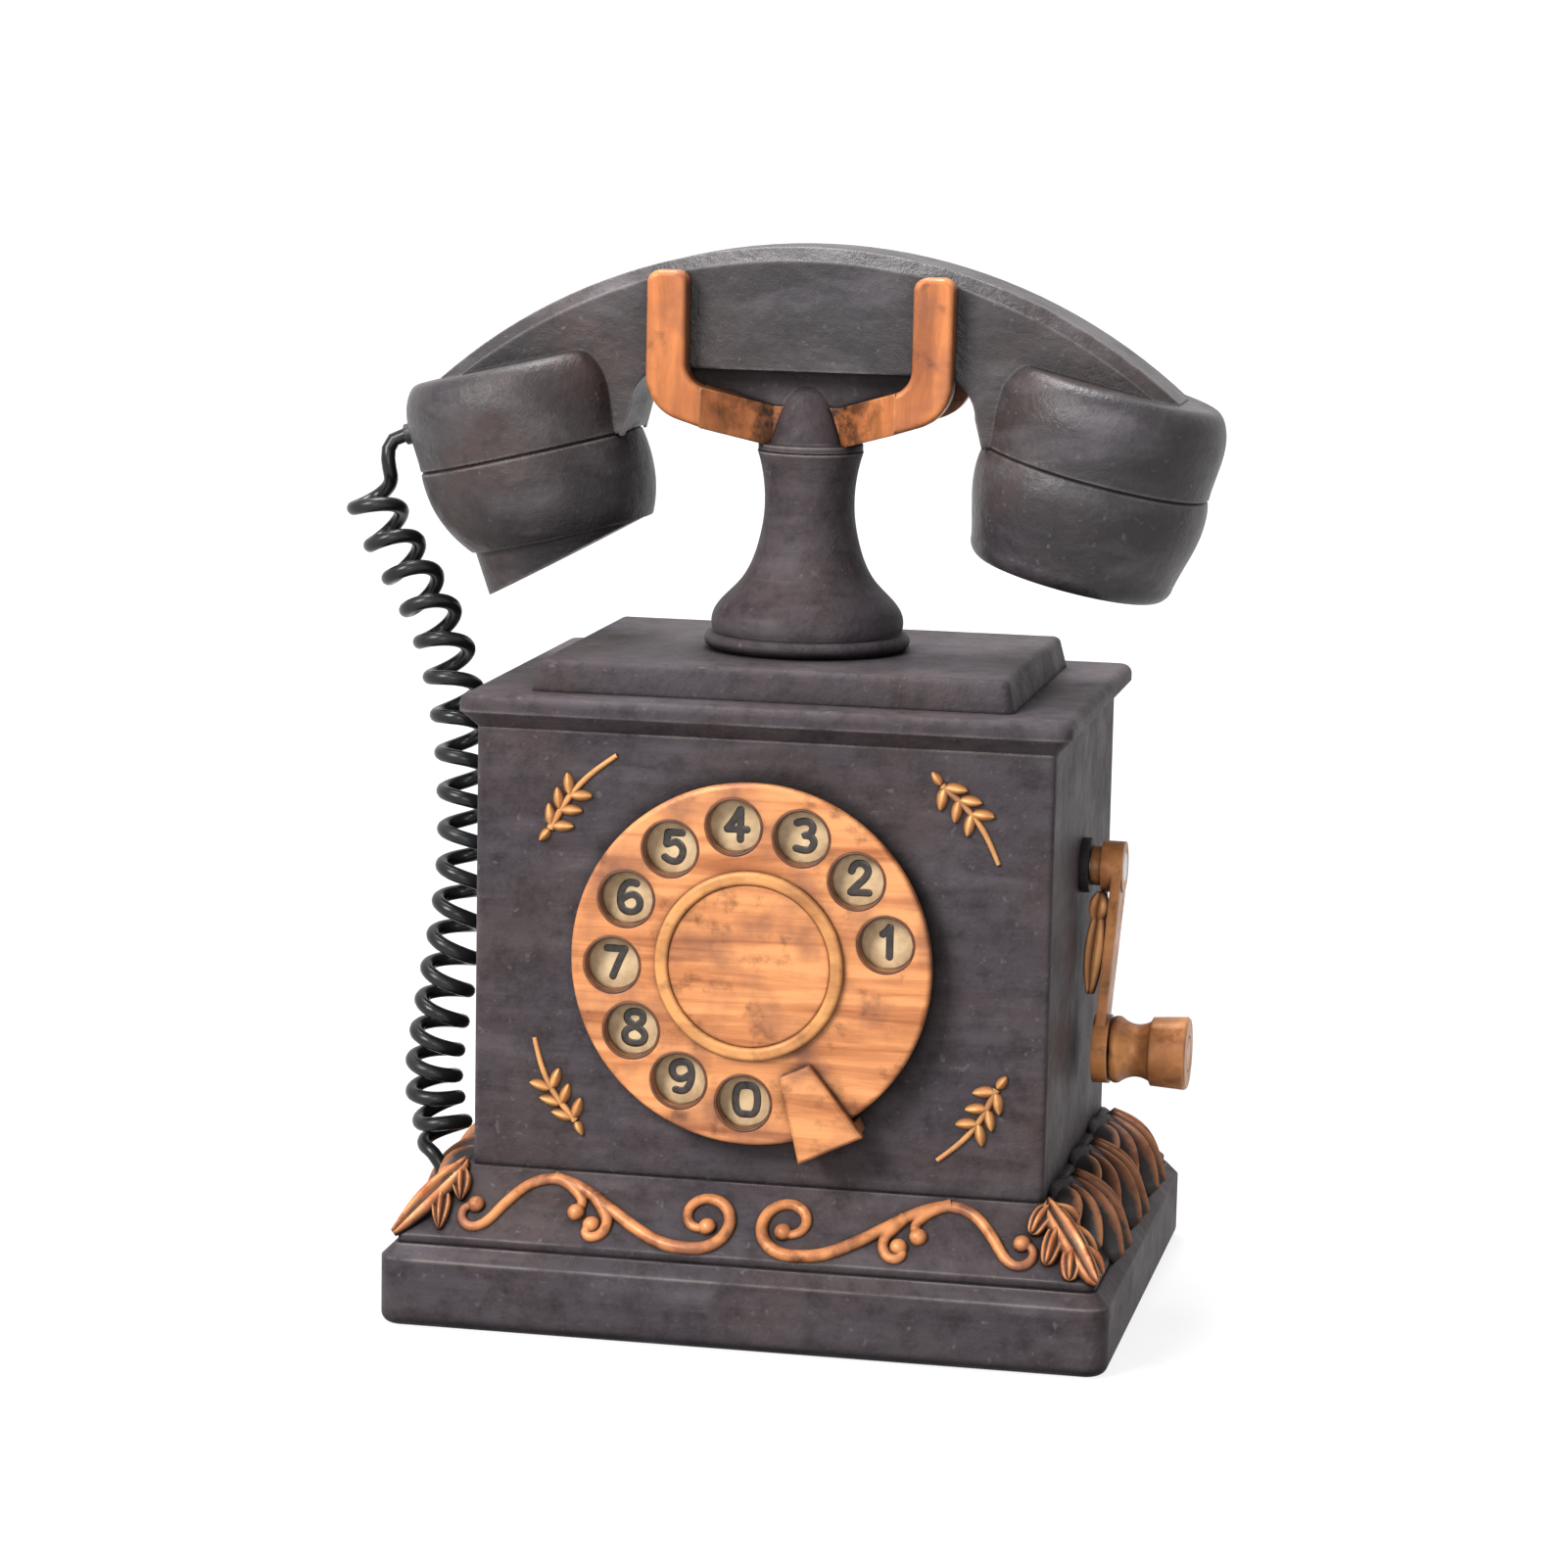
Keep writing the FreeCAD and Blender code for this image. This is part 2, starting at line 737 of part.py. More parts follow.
def pillar():
    """Turned column with a beaded foot, a flare, a narrow neck and a spigot through the cap."""
    spigot_low = cap_z - bracket_plate - pillar_nut_height
    bead_top = pillar_z + pillar_bead_height
    bead_mid = V(pillar_foot_radius, 0, pillar_z + pillar_bead_height / 2)
    bead_in = pillar_foot_radius - pillar_bead_height / 2
    bead = Part.Arc(V(bead_in, 0, pillar_z), bead_mid, V(bead_in, 0, bead_top)).toShape()
    flare = [(bead_in, bead_top)] + [(radius, pillar_z + height) for radius, height in pillar_flare]
    flare.append((pillar_neck_radius, pillar_z + pillar_neck_height))
    flare.append((pillar_shoulder_radius, pillar_top_z))
    bore = hook_rod_radius + running
    edges = outline([(bore, pillar_top_z), (bore, spigot_low), (pillar_spigot_radius, spigot_low),
                     (pillar_spigot_radius, pillar_z), (bead_in, pillar_z)])
    edges.append(bead)
    edges.append(flowing(flare))
    edges += outline([(pillar_shoulder_radius, pillar_top_z), (bore, pillar_top_z)])
    return turned(edges)


def pillar_nut():
    """Hexagon nut on the spigot, under the hook bracket's plate."""
    high = cap_z - bracket_plate
    corners = []
    for corner in range(7):
        angle = math.radians(60 * corner)
        corners.append(V(pillar_nut_radius * math.cos(angle), pillar_nut_radius * math.sin(angle), high))
    nut = Part.Face(Part.makePolygon(corners)).extrude(V(0, 0, -pillar_nut_height))
    return nut.cut(rod(pillar_spigot_radius, V(0, 0, cap_z - bracket_drop), V(0, 0, cap_z)))


def hook_pieces():
    """Bracket under the cap, with the hook spring on its shelf and the contacts on its rear leg."""
    top = span_box((-pillar_nut_radius, pillar_nut_radius), (-bracket_half_y, bracket_half_y),
                   (cap_z - bracket_plate, cap_z))
    shelf = span_box((-bracket_half_x, bracket_half_x), (-bracket_half_y, bracket_half_y),
                     (shelf_z - bracket_plate, shelf_z))
    legs = []
    for side in (-1, 1):
        faces = sorted((side * bracket_half_y, side * (bracket_half_y - bracket_plate)))
        legs.append(span_box((-bracket_half_x, bracket_half_x), faces, (shelf_z - bracket_plate, cap_z)))
    bracket = fused([top, shelf] + legs)
    bracket = bracket.cut(rod(pillar_spigot_radius + slip, V(0, 0, cap_z - 2 * bracket_plate),
                              V(0, 0, cap_z + 1)))
    bracket = bracket.cut(rod(hook_rod_radius + running, V(0, 0, shelf_z - 2 * bracket_plate),
                              V(0, 0, shelf_z + 1)))

    rise = hook_spring_height - hook_spring_wire
    pitch = rise / hook_spring_turns
    points = []
    tangents = []
    for quarter in range(4 * hook_spring_turns + 1):
        angle = math.pi / 2 * quarter
        low = shelf_z + hook_spring_wire / 2
        points.append(V(hook_spring_radius * math.cos(angle), hook_spring_radius * math.sin(angle),
                        low + pitch * quarter / 4))
        heading = V(-hook_spring_radius * math.sin(angle), hook_spring_radius * math.cos(angle),
                    pitch / (2 * math.pi))
        tangents.append(heading.normalize())
    spring = round_sweep(biarc_edges(points, tangents), hook_spring_wire / 2)

    block_y = bracket_half_y + contact_pitch * contact_count
    block = span_box((-bracket_half_x, bracket_half_x), (bracket_half_y, block_y),
                     (shelf_z, shelf_z + contact_block_height))
    leaves = []
    for leaf in range(contact_count):
        y = bracket_half_y + contact_pitch * (leaf + 0.5)
        leaves.append(span_box((-contact_leaf_width / 2, contact_leaf_width / 2), (y, y + contact_leaf),
                               (shelf_z - hook_rod_tail, shelf_z)))
    return {"hook_bracket": bracket, "hook_spring": spring, "hook_contacts": fused([block] + leaves)}


def cradle_pieces():
    """Fork, boss with the saddle under the grip, and hook rod, which all rise with the handset."""
    fork = cradle_fork()
    tip_z = seat_z - boss_below_seat
    flank = [(boss_radius, cradle_z + boss_skirt)] + [(radius, cradle_z + height) for radius,
                                                      height in boss_flank]
    flank.append((0, tip_z))
    edges = outline([(0, tip_z), (0, cradle_z), (boss_radius, cradle_z),
                     (boss_radius, cradle_z + boss_skirt)])
    edges.append(flowing(flank[1:], (-1, 2), (-1, 0)))
    edges.insert(3, Part.makeLine(V(flank[0][0], 0, flank[0][1]), V(flank[1][0], 0, flank[1][1])))
    rod_top = cradle_z + fork_bar_base + hook_rod_seat
    stem = rod(hook_rod_radius, V(0, 0, shelf_z - hook_rod_tail), V(0, 0, rod_top))
    saddle = span_box((-saddle_half_x, saddle_half_x), (-saddle_half_y, saddle_half_y),
                      (seat_z - saddle_drop, seat_z))
    boss = fused([turned(edges), saddle]).cut(fork).cut(stem)
    collar = rod(hook_collar_radius, V(0, 0, collar_z), V(0, 0, collar_z + hook_collar_height))
    return {"cradle_fork": fork.cut(stem), "cradle_boss": boss, "hook_rod": fused([stem, collar])}


def section(x, half_y, low, high):
    """Upright rectangle across the fork's arm at one X."""
    spots = [V(x, -half_y, low), V(x, half_y, low), V(x, half_y, high), V(x, -half_y, high)]
    return Part.makePolygon(spots + spots[:1])


def rounded_face(corners):
    """Face in the XZ plane from (x, z, reach) corners, each rounded as far as its reach."""
    spots = [V(x, 0, z) for x, z, reach in corners]
    rounds = []
    for index, (x, z, reach) in enumerate(corners):
        spot = spots[index]
        before = (spots[index - 1] - spot).normalize()
        after = (spots[(index + 1) % len(spots)] - spot).normalize()
        rounds.append((spot + before * reach, spot, spot + after * reach))
    edges = []
    leave = rounds[-1][2]
    for (arrive, spot, onward), corner in zip(rounds, corners):
        edges.append(Part.makeLine(leave, arrive))
        if corner[2] > 0:
            edges.append(arc_or_line(arrive, spot, onward))
        leave = onward
    return Part.Face(Part.Wire(edges))


def cradle_fork():
    """Hub bar and four splayed arms that turn up into prongs beside the grip."""
    low = cradle_z + fork_bar_base
    high = low + fork_bar_height
    inner_half = grip_depth / 2 + yoke_gap
    outer_half = inner_half + yoke_wall
    climb = fork_bar_rise / (fork_arm_end - fork_hub_x)
    shapes = [span_box((-fork_hub_x, fork_hub_x), (-fork_hub_y, fork_hub_y), (low, high))]
    for side in (-1, 1):
        near = side * fork_hub_x
        far = side * fork_arm_end
        arm = Part.makeLoft([section(near, fork_hub_y, low, high),
                             section(far, outer_half, low + fork_bar_rise, high + fork_bar_rise)],
                            True, True)
        notch_start = side * (fork_hub_x + yoke_wall)
        notch = Part.makeLoft([section(notch_start, slip, low - 1, high + fork_bar_rise + 1),
                               section(side * (fork_arm_end + 1), outer_half - fork_arm_width, low - 1,
                                       high + fork_bar_rise + 1)], True, True)
        shapes.append(arm.cut(notch))
        for face in (-1, 1):
            shapes.append(prong(side, face, inner_half, low, climb))
    return fused(shapes)


def prong(side, face, inner_half, low, climb):
    """End of an arm that bends up beside the grip, its outer face rounded along the outline."""
    tip_z = seat_z + prong_height

    def under(x):
        return low + climb * (x - fork_hub_x)

    outline_face = rounded_face([
        (fork_arm_end, under(fork_arm_end), 0), (prong_outer_x, under(prong_outer_x), prong_elbow),
        (prong_outer_x, tip_z, prong_tip_round), (prong_inner_x, tip_z, prong_tip_round),
        (prong_inner_x, under(prong_inner_x) + fork_bar_height, prong_throat),
        (fork_arm_end, under(fork_arm_end) + fork_bar_height, 0)])
    body = outline_face.extrude(V(0, -yoke_wall, 0))
    rims = [edge for edge in body.Edges
            if edge.BoundBox.YMax < -yoke_wall + 1e-4 and edge.BoundBox.XMax > fork_arm_end + 1e-3]
    body = body.makeFillet(prong_face_round, rims)
    body.translate(V(0, -inner_half, 0))
    if face > 0:
        body = body.mirror(V(0, 0, 0), BACK)
    if side < 0:
        body = body.mirror(V(0, 0, 0), ACROSS)
    return body


def cup_frame(side):
    """Place of a cup: origin in its seam, Z along its tilted axis."""
    return V(side * cup_reach, 0, seam_z), FreeCAD.Rotation(BACK, side * cup_tilt)


def cup_housing():
    """Upper half of a cup about the Z axis, its seam at zero."""
    edges = outline([(0, cup_height), (0, 0), (cup_radius - seam_groove, 0), (cup_radius, seam_groove)])
    rim_low = (cup_rim_radius + cup_edge_round * 0.3, cup_height - cup_edge_round)
    rim_top = (cup_rim_radius - cup_edge_round, cup_height)
    edges.append(flowing([(cup_radius, seam_groove),
                          (cup_radius + cup_bulge, cup_height * cup_bulge_share), rim_low,
                          (cup_rim_radius - cup_edge_round * 0.3, cup_height - cup_edge_round * 0.25),
                          rim_top]))
    edges += outline([rim_top, (0, cup_height)])
    return turned(edges)


def handset_pieces():
    """Handset moulding, its two caps and capsules, and the gland for the cord."""
    left = cup_frame(-1)
    right = cup_frame(1)
    body = handset_body()
    gland, gland_hole = handset_gland()
    capsule_radius = cup_cavity_radius - cap_spigot_wall - 3 * slip
    capsule = turned(outline([(0, 0), (capsule_radius, 0), (capsule_radius, cap_spigot_height),
                              (capsule_radius - 3 * capsule_rim, cup_cavity_depth),
                              (0, cup_cavity_depth), (0, 0)]))
    return {"handset_body": body.cut(gland_hole), "mouthpiece_cap": placed(mouthpiece(), *left),
            "earpiece_cap": placed(earpiece(), *right), "transmitter_capsule": placed(capsule, *left),
            "receiver_capsule": placed(capsule, *right), "handset_gland": gland}


def handset_body():
    """Arched grip with webs running down to the two cup housings."""
    crown_z = grip_z + grip_crown
    centre_z = crown_z - grip_radius
    end_z = centre_z + math.sqrt(grip_radius ** 2 - grip_reach ** 2)
    web_z = grip_z - web_drop
    bend = web_reach - grip_flat
    edges = [Part.Arc(V(-grip_reach, 0, end_z), V(0, 0, crown_z), V(grip_reach, 0, end_z)).toShape()]
    for side in (1, -1):
        web_foot = V(side * (web_reach + 2), 0, web_z)
        web_start = V(side * web_reach, 0, grip_z - bend)
        web_mid = V(side * (grip_flat + bend * math.sqrt(0.5)), 0, grip_z - bend * (1 - math.sqrt(0.5)))
        inside = V(side * cup_reach, 0, web_z)
        edges.append(Part.makeLine(V(side * grip_reach, 0, end_z), inside))
        edges.append(Part.makeLine(inside, web_foot))
        edges.append(Part.makeLine(web_foot, web_start))
        edges.append(Part.Arc(web_start, web_mid, V(side * grip_flat, 0, grip_z)).toShape())
    edges.append(Part.makeLine(V(-grip_flat, 0, grip_z), V(grip_flat, 0, grip_z)))
    face = Part.Face(Part.Wire(Part.__sortEdges__(edges)))
    face.translate(V(0, -grip_depth / 2, 0))
    grip = face.extrude(V(0, grip_depth, 0))
    crest = [edge for edge in grip.Edges
             if edge.BoundBox.ZMax > crown_z - 1e-3 and edge.BoundBox.YLength < 1e-3]
    grip = grip.makeChamfer(grip_edge, crest)
    body = fused([grip, placed(cup_housing(), *cup_frame(-1)), placed(cup_housing(), *cup_frame(1))])
    cavity = rod(cup_cavity_radius, V(0, 0, -cup_drop), V(0, 0, cup_cavity_depth))
    cap_room = rod(cup_radius + cup_bulge + rest_gap, V(0, 0, -cup_drop), V(0, 0, 0))
    for side in (-1, 1):
        body = body.cut(placed(cavity, *cup_frame(side))).cut(placed(cap_room, *cup_frame(side)))
    return body


def cap_spigot():
    """Ring on a cap that screws into the housing's cavity."""
    outer = cup_cavity_radius - slip
    return ring(outer, outer - cap_spigot_wall, V(0, 0, 0), V(0, 0, cap_spigot_height))


def sound_holes(depth):
    """Upright holes in rings about the Z axis, ending at the given depth."""
    holes = [rod(sound_hole_radius, V(0, 0, -depth), V(0, 0, 0))]
    for level in range(1, sound_ring_count + 1):
        radius = sound_ring_pitch * level
        count = sound_hole_count * level
        for hole in range(count):
            angle = 2 * math.pi * hole / count
            spot = V(radius * math.cos(angle), radius * math.sin(angle), 0)
            holes.append(rod(sound_hole_radius, spot - UP * depth, spot))
    return Part.makeCompound(holes)


def circle_wire(radius, shift, height):
    """Horizontal circle whose centre is shifted along X."""
    return Part.Wire([Part.makeCircle(radius, V(shift, 0, height), UP)])


def mouthpiece():
    """Left cap: a cup leaning towards the pillar, with an oblique rim below it."""
    body = Part.makeLoft([circle_wire(cup_radius, 0, -seam_groove),
                          circle_wire(cup_radius, mouth_bulge_shift, -mouth_height * mouth_bulge_share),
                          circle_wire(mouth_taper_radius, mouth_shift, -mouth_height)], True, False)
    bevel = Part.makeCone(cup_radius, cup_radius - seam_groove, seam_groove, V(0, 0, -seam_groove), UP)
    rim_low = -mouth_height - mouth_rim_height
    rim = Part.makeLoft([circle_wire(mouth_rim_radius, mouth_rim_shift, -mouth_height),
                         circle_wire(mouth_rim_end_radius, mouth_rim_end_shift, rim_low)], True, True)
    hinge = V(mouth_shift + mouth_rim_radius, 0, -mouth_height)
    half = 3 * cup_radius
    below = Part.makeBox(2 * half, 2 * half, half, V(-half, -half, -half))
    below = placed(below, hinge, FreeCAD.Rotation(BACK, -mouth_rim_tilt))
    rim = rim.cut(below)
    shell = fused([body, bevel, rim])
    floor_z = mouth_height - mouth_floor
    hollow = Part.makeLoft([circle_wire(cup_cavity_radius - slip - cap_spigot_wall, 0, 0),
                            circle_wire(mouth_taper_radius - mouth_floor, mouth_shift, -floor_z)], True,
                            True)
    shell = fused([shell.cut(hollow), cap_spigot()])
    return shell.cut(sound_holes(mouth_height + mouth_rim_height))


def earpiece():
    """Right cap: a round cup with a slightly domed end."""
    low = -ear_height
    edge_out = (ear_end_radius, low + ear_edge_round)
    edge_in = (ear_end_radius - ear_edge_round, low)
    turn = ear_edge_round * math.sqrt(0.5)
    corner = Part.Arc(V(edge_out[0], 0, edge_out[1]),
                      V(edge_in[0] + turn, 0, edge_out[1] - turn), V(edge_in[0], 0, low)).toShape()
    edges = outline([(0, low - ear_dome), (0, 0), (cup_radius - seam_groove, 0),
                     (cup_radius, -seam_groove)])
    edges.append(flowing([(cup_radius, -seam_groove), (ear_mid_radius, low * ear_mid_share), edge_out],
                         (0.3, -1), (-0.2, -1)))
    edges.append(corner)
    edges.append(Part.makeLine(V(edge_in[0], 0, low), V(0, 0, low - ear_dome)))
    inner = cup_cavity_radius - slip - cap_spigot_wall
    hollow = turned(outline([(0, 0), (0, low + ear_floor), (inner - ear_edge_round, low + ear_floor),
                             (inner, low + ear_floor + ear_edge_round), (inner, 0), (0, 0)]))
    shell = fused([turned(edges).cut(hollow), cap_spigot()])
    return shell.cut(sound_holes(ear_height + ear_dome + 1))


def exit_line():
    """Start and direction of the cord where it leaves the left cup's outer side."""
    origin, rotation = cup_frame(-1)
    outward = rotation.multVec(V(-1, 0, 0))
    side = rotation.multVec(V(-cup_radius, 0, cord_exit_height))
    return origin + side, outward


def handset_gland():
    """Sleeve in the cup's side and the hole that it sits in."""
    start, outward = exit_line()
    inner = start - outward * (cup_radius - cup_cavity_radius)
    mouth = start + outward * handset_gland_length
    gland = rod(handset_gland_radius, inner, mouth)
    hole = rod(handset_gland_radius, inner - outward, mouth + outward)
    return gland, hole


def cord_centreline():
    """Points and headings of the curled wire at quarter turns, from the handset to the coving.

    The route is the curl's axis, one curl radius beside the glands, so the turns begin at full size.
    """
    start, outward = exit_line()
    foot = V(gland_x, gland_y + cord_curl_radius, gland_top_z)
    poles = [V(*point) for point in cord_route] + [foot + UP * cord_last_rise, foot]
    knots = len(poles) - 1
    route = Part.BSplineCurve()
    route.buildFromPolesMultsKnots(poles, [3] + [1] * (knots - 2) + [3], list(range(knots)), False, 2)
    length = route.length()
    coil_end = length - cord_tail

    def eased(share):
        share = max(0.0, min(1.0, share))
        return share * share * (3 - 2 * share)

    def wire_point(along, phase):
        parameter = route.parameterAtDistance(max(0.0, min(length, along)), route.FirstParameter)
        heading = route.tangent(parameter)[0]
        across = (BACK - heading * BACK.dot(heading)).normalize()
        aside = heading.cross(across)
        offset = aside * math.cos(phase) + across * math.sin(phase)
        return route.value(parameter) + offset * cord_curl_radius

    def turn_rate(along):
        share = along / coil_end
        pitch = (cord_pitch_top * (1 - share) * (1 - 2 * share) + cord_pitch_middle * 4 * share * (1 - share)
                 + cord_pitch_bottom * share * (2 * share - 1))
        ramp = eased(along / cord_ramp) * eased((coil_end - along) / cord_ramp)
        return 2 * math.pi / pitch * ramp

    step = coil_end / cord_steps
    rates = [turn_rate(step * (index + 0.5)) for index in range(cord_steps)]
    turns = sum(rates) * step / (2 * math.pi)
    wanted_turns = round(turns - cord_end_turn) + cord_end_turn
    whole = wanted_turns / turns
    quarter = math.pi / 2
    stations = [(0.0, 0.0)]
    phase = 0.0
    wanted = quarter
    for index, rate in enumerate(rates):
        phase += rate * whole * step
        if phase >= wanted and wanted < 2 * math.pi * wanted_turns - quarter / 2:
            stations.append((step * (index + 1), phase))
            wanted += quarter
    stations += [(coil_end, phase), (length, phase)]
    points = [start + outward * handset_gland_length]
    tangents = [outward]
    nudge = 0.02
    for along, phase in stations:
        swing = nudge * whole * turn_rate(along)
        before = wire_point(along - nudge, phase - swing)
        after = wire_point(along + nudge, phase + swing)
        points.append(wire_point(along, phase))
        tangents.append((after - before).normalize())
    return points, tangents


def cord_checks(edges, solid):
    """Print the wire's length, tightest bend, volume and least gap to itself."""
    path = Part.Wire(edges)
    bends = [edge.Curve.Radius for edge in edges if hasattr(edge.Curve, "Radius")]
    step = cord_diameter / 4
    spots = path.discretize(Distance=step)
    apart = int(2.5 * cord_diameter / step)
    reach = int(14 * cord_curl_radius / step)
    least = min((spots[i] - spots[j]).Length for i in range(len(spots))
                for j in range(i + apart, min(len(spots), i + reach)))
    expected = math.pi * cord_diameter ** 2 / 4 * path.Length
    print("cord length", round(path.Length, 1), "tightest bend", round(min(bends), 2))
    print("cord volume over section times length", round(solid.Volume / expected, 4))
    print("cord least gap to itself", round(least - cord_diameter, 2))


def handset_cord():
    """One curled wire from the handset's gland to the gland in the coving."""
    points, tangents = cord_centreline()
    edges = biarc_edges(points, tangents)
    solid = round_sweep(edges, cord_diameter / 2)
    cord_checks(edges, solid)
    return solid


def dial_point(depth, radius=0.0, angle=0.0):
    """Point in front of the case, at a radius and angle about the dial's axis."""
    turn = math.radians(angle)
    return V(dial_x + radius * math.cos(turn), front_y - depth, dial_z + radius * math.sin(turn))


def finger_angles():
    """Angles of the finger holes, counter-clockwise from the right."""
    return [finger_first_angle + finger_pitch * hole for hole in range(finger_count)]


def dial_face_pieces():
    """Frame, number plate, finger stop, finger wheel, centre card and its ring."""
    frame = fused([rod(dial_flange_radius, dial_point(0), dial_point(dial_flange)),
                   rod(dial_boss_radius, dial_point(-dial_boss_depth), dial_point(0))])
    frame = frame.cut(rod(dial_shaft_radius + running, dial_point(-dial_boss_depth - 1),
                          dial_point(wheel_face)))
    pivot = governor_axis()
    frame = frame.cut(rod(governor_spindle_radius + running, pivot - BACK * (governor_pivot + slip),
                          pivot + BACK))

    plate_top = dial_flange + number_plate
    plate = rod(number_plate_radius, dial_point(dial_flange), dial_point(plate_top))
    spots = []
    for angle in finger_angles():
        spots.append(rod(number_spot_radius, dial_point(dial_flange, finger_circle, angle),
                         dial_point(plate_top + number_spot, finger_circle, angle)))
    plate = fused([plate] + spots)
    plate = plate.cut(rod(wheel_hub_radius + rest_gap, dial_point(0), dial_point(wheel_face)))

    wheel = rod(wheel_radius, dial_point(wheel_back), dial_point(wheel_face))
    rims = [edge for edge in wheel.Edges if edge.BoundBox.YLength < 1e-4]
    wheel = wheel.makeFillet(wheel_edge_round, rims)
    hub = rod(wheel_hub_radius, dial_point(dial_flange + rest_gap), dial_point(wheel_back))
    wheel = fused([wheel, hub])
    for angle in finger_angles():
        wheel = wheel.cut(rod(finger_hole_radius, dial_point(0, finger_circle, angle),
                              dial_point(wheel_face + 1, finger_circle, angle)))
        wheel = wheel.cut(Part.makeCone(finger_hole_radius, finger_hole_radius + finger_chamfer,
                                        finger_chamfer,
                                        dial_point(wheel_face - finger_chamfer, finger_circle, angle),
                                        -BACK))
    wheel = wheel.cut(rod(dial_shaft_radius, dial_point(0), dial_point(wheel_face + 1)))

    card = rod(card_radius, dial_point(wheel_face), dial_point(wheel_face + card_thickness))
    ring_in = card_radius + slip
    card_ring = ring(ring_in + card_ring_width, ring_in, dial_point(wheel_face),
                     dial_point(wheel_face + card_ring_height))
    crown_y = front_y - wheel_face - card_ring_height
    crown = [edge for edge in card_ring.Edges if abs(edge.BoundBox.YMax - crown_y) < 1e-4]
    card_ring = card_ring.makeFillet(card_ring_round, crown)
    return {"dial_frame": frame, "number_plate": plate, "finger_stop": finger_stop(),
            "finger_wheel": wheel,
            "dial_card": card, "card_ring": card_ring}


def finger_stop():
    """Wedge over the wheel's face, with a foot outside the rim that stands on the case."""
    face_y = front_y - wheel_face - 2 * rest_gap
    corners = [(stop_inner_radius, -stop_inner_width / 2), (stop_inner_radius, stop_inner_width / 2),
               (stop_outer_radius, stop_outer_width / 2), (stop_outer_radius, -stop_outer_width / 2)]
    spots = [V(radius, face_y, across) for radius, across in corners]
    wedge = Part.Face(Part.makePolygon(spots + spots[:1])).extrude(V(0, -stop_thickness, 0))
    front = [edge for edge in wedge.Edges if edge.BoundBox.YMax < face_y - stop_thickness + 1e-4]
    wedge = wedge.makeChamfer(stop_edge, front)
    foot_in = wheel_radius + 2 * rest_gap
    half = stop_outer_width / 2 - 2 * stop_edge
    foot = span_box((foot_in, foot_in + stop_foot), (face_y, front_y), (-half, half))
    stop = fused([wedge, foot])
    stop.rotate(V(0, 0, 0), BACK, -stop_angle)
    stop.translate(V(dial_x, 0, dial_z))
    return stop


def behind(depth, radius=0.0, angle=0.0):
    """Point behind the dial's boss, at a radius and angle about the dial's axis."""
    return dial_point(-dial_boss_depth - depth, radius, angle)


def governor_axis():
    """Where the governor's axis meets the back of the boss."""
    distance = dial_module * (dial_gear_teeth + governor_teeth) / 2
    return behind(0, distance, governor_angle)


def movement_pieces():
    """Shaft, gear, cam, spring barrel, back plate, contacts and governor of the dial."""
    plate_start = barrel_start + barrel_width
    plate_end = plate_start + back_plate_thickness
    gear_end = dial_gear_start + dial_gear_width
    shaft = rod(dial_shaft_radius, dial_point(wheel_face), behind(plate_end))
    facing = FreeCAD.Rotation(ACROSS, -90)
    meshing = facing.multiply(FreeCAD.Rotation(UP, -governor_angle))
    dial_gear = gear(dial_gear_teeth, dial_module, dial_gear_width, dial_shaft_radius)
    dial_gear = placed(dial_gear, behind(dial_gear_start), meshing)

    cam_start = gear_end + cam_gap
    cam = rod(cam_radius - cam_lobe, behind(cam_start), behind(cam_start + cam_width))
    lobes = []
    for angle in finger_angles():
        lobes.append(rod(2 * cam_lobe, behind(cam_start, cam_radius - 2 * cam_lobe, angle),
                         behind(cam_start + cam_width, cam_radius - 2 * cam_lobe, angle)))
    cam = fused([cam] + lobes).cut(shaft)

    barrel = ring(barrel_radius, dial_shaft_radius + rest_gap, behind(barrel_start), behind(plate_start))
    axis = governor_axis()
    cup_outer = governor_cup_radius + governor_cup_wall
    plate = [rod(dial_boss_radius, behind(plate_start), behind(plate_end)),
             ring(cup_outer, governor_cup_radius, axis + BACK * (plate_start - governor_cup_depth),
                  axis + BACK * plate_start)]
    for angle in back_plate_post_angles:
        plate.append(rod(back_plate_post_radius, behind(0, back_plate_post_circle, angle),
                         behind(plate_start, back_plate_post_circle, angle)))
    plate = fused(plate)
    plate = plate.cut(rod(dial_shaft_radius + running, behind(plate_start - 1), behind(plate_end + 1)))
    plate = plate.cut(rod(governor_spindle_radius + running, axis + BACK * (plate_start - 1),
                          axis + BACK * (plate_end + 1)))

    block_in = max(cam_radius, barrel_radius) + pulse_block_gap
    block = span_box((dial_x + block_in, dial_x + block_in + pulse_block_width),
                     (boss_back_y + pulse_block_start, boss_back_y + plate_start),
                     (dial_z - pulse_block_height / 2, dial_z + pulse_block_height / 2))
    leaves = []
    for side in (-1, 1):
        z = dial_z + side * contact_pitch / 2
        leaves.append(span_box((dial_x + cam_radius + rest_gap, dial_x + block_in),
                               (boss_back_y + cam_start, boss_back_y + cam_start + cam_width),
                               (z - contact_leaf / 2, z + contact_leaf / 2)))
    return {"dial_shaft": shaft, "dial_gear": dial_gear, "pulse_cam": cam, "spring_barrel": barrel,
            "dial_back_plate": plate, "pulse_contacts": fused([block] + leaves),
            "governor": governor(axis, plate_end)}


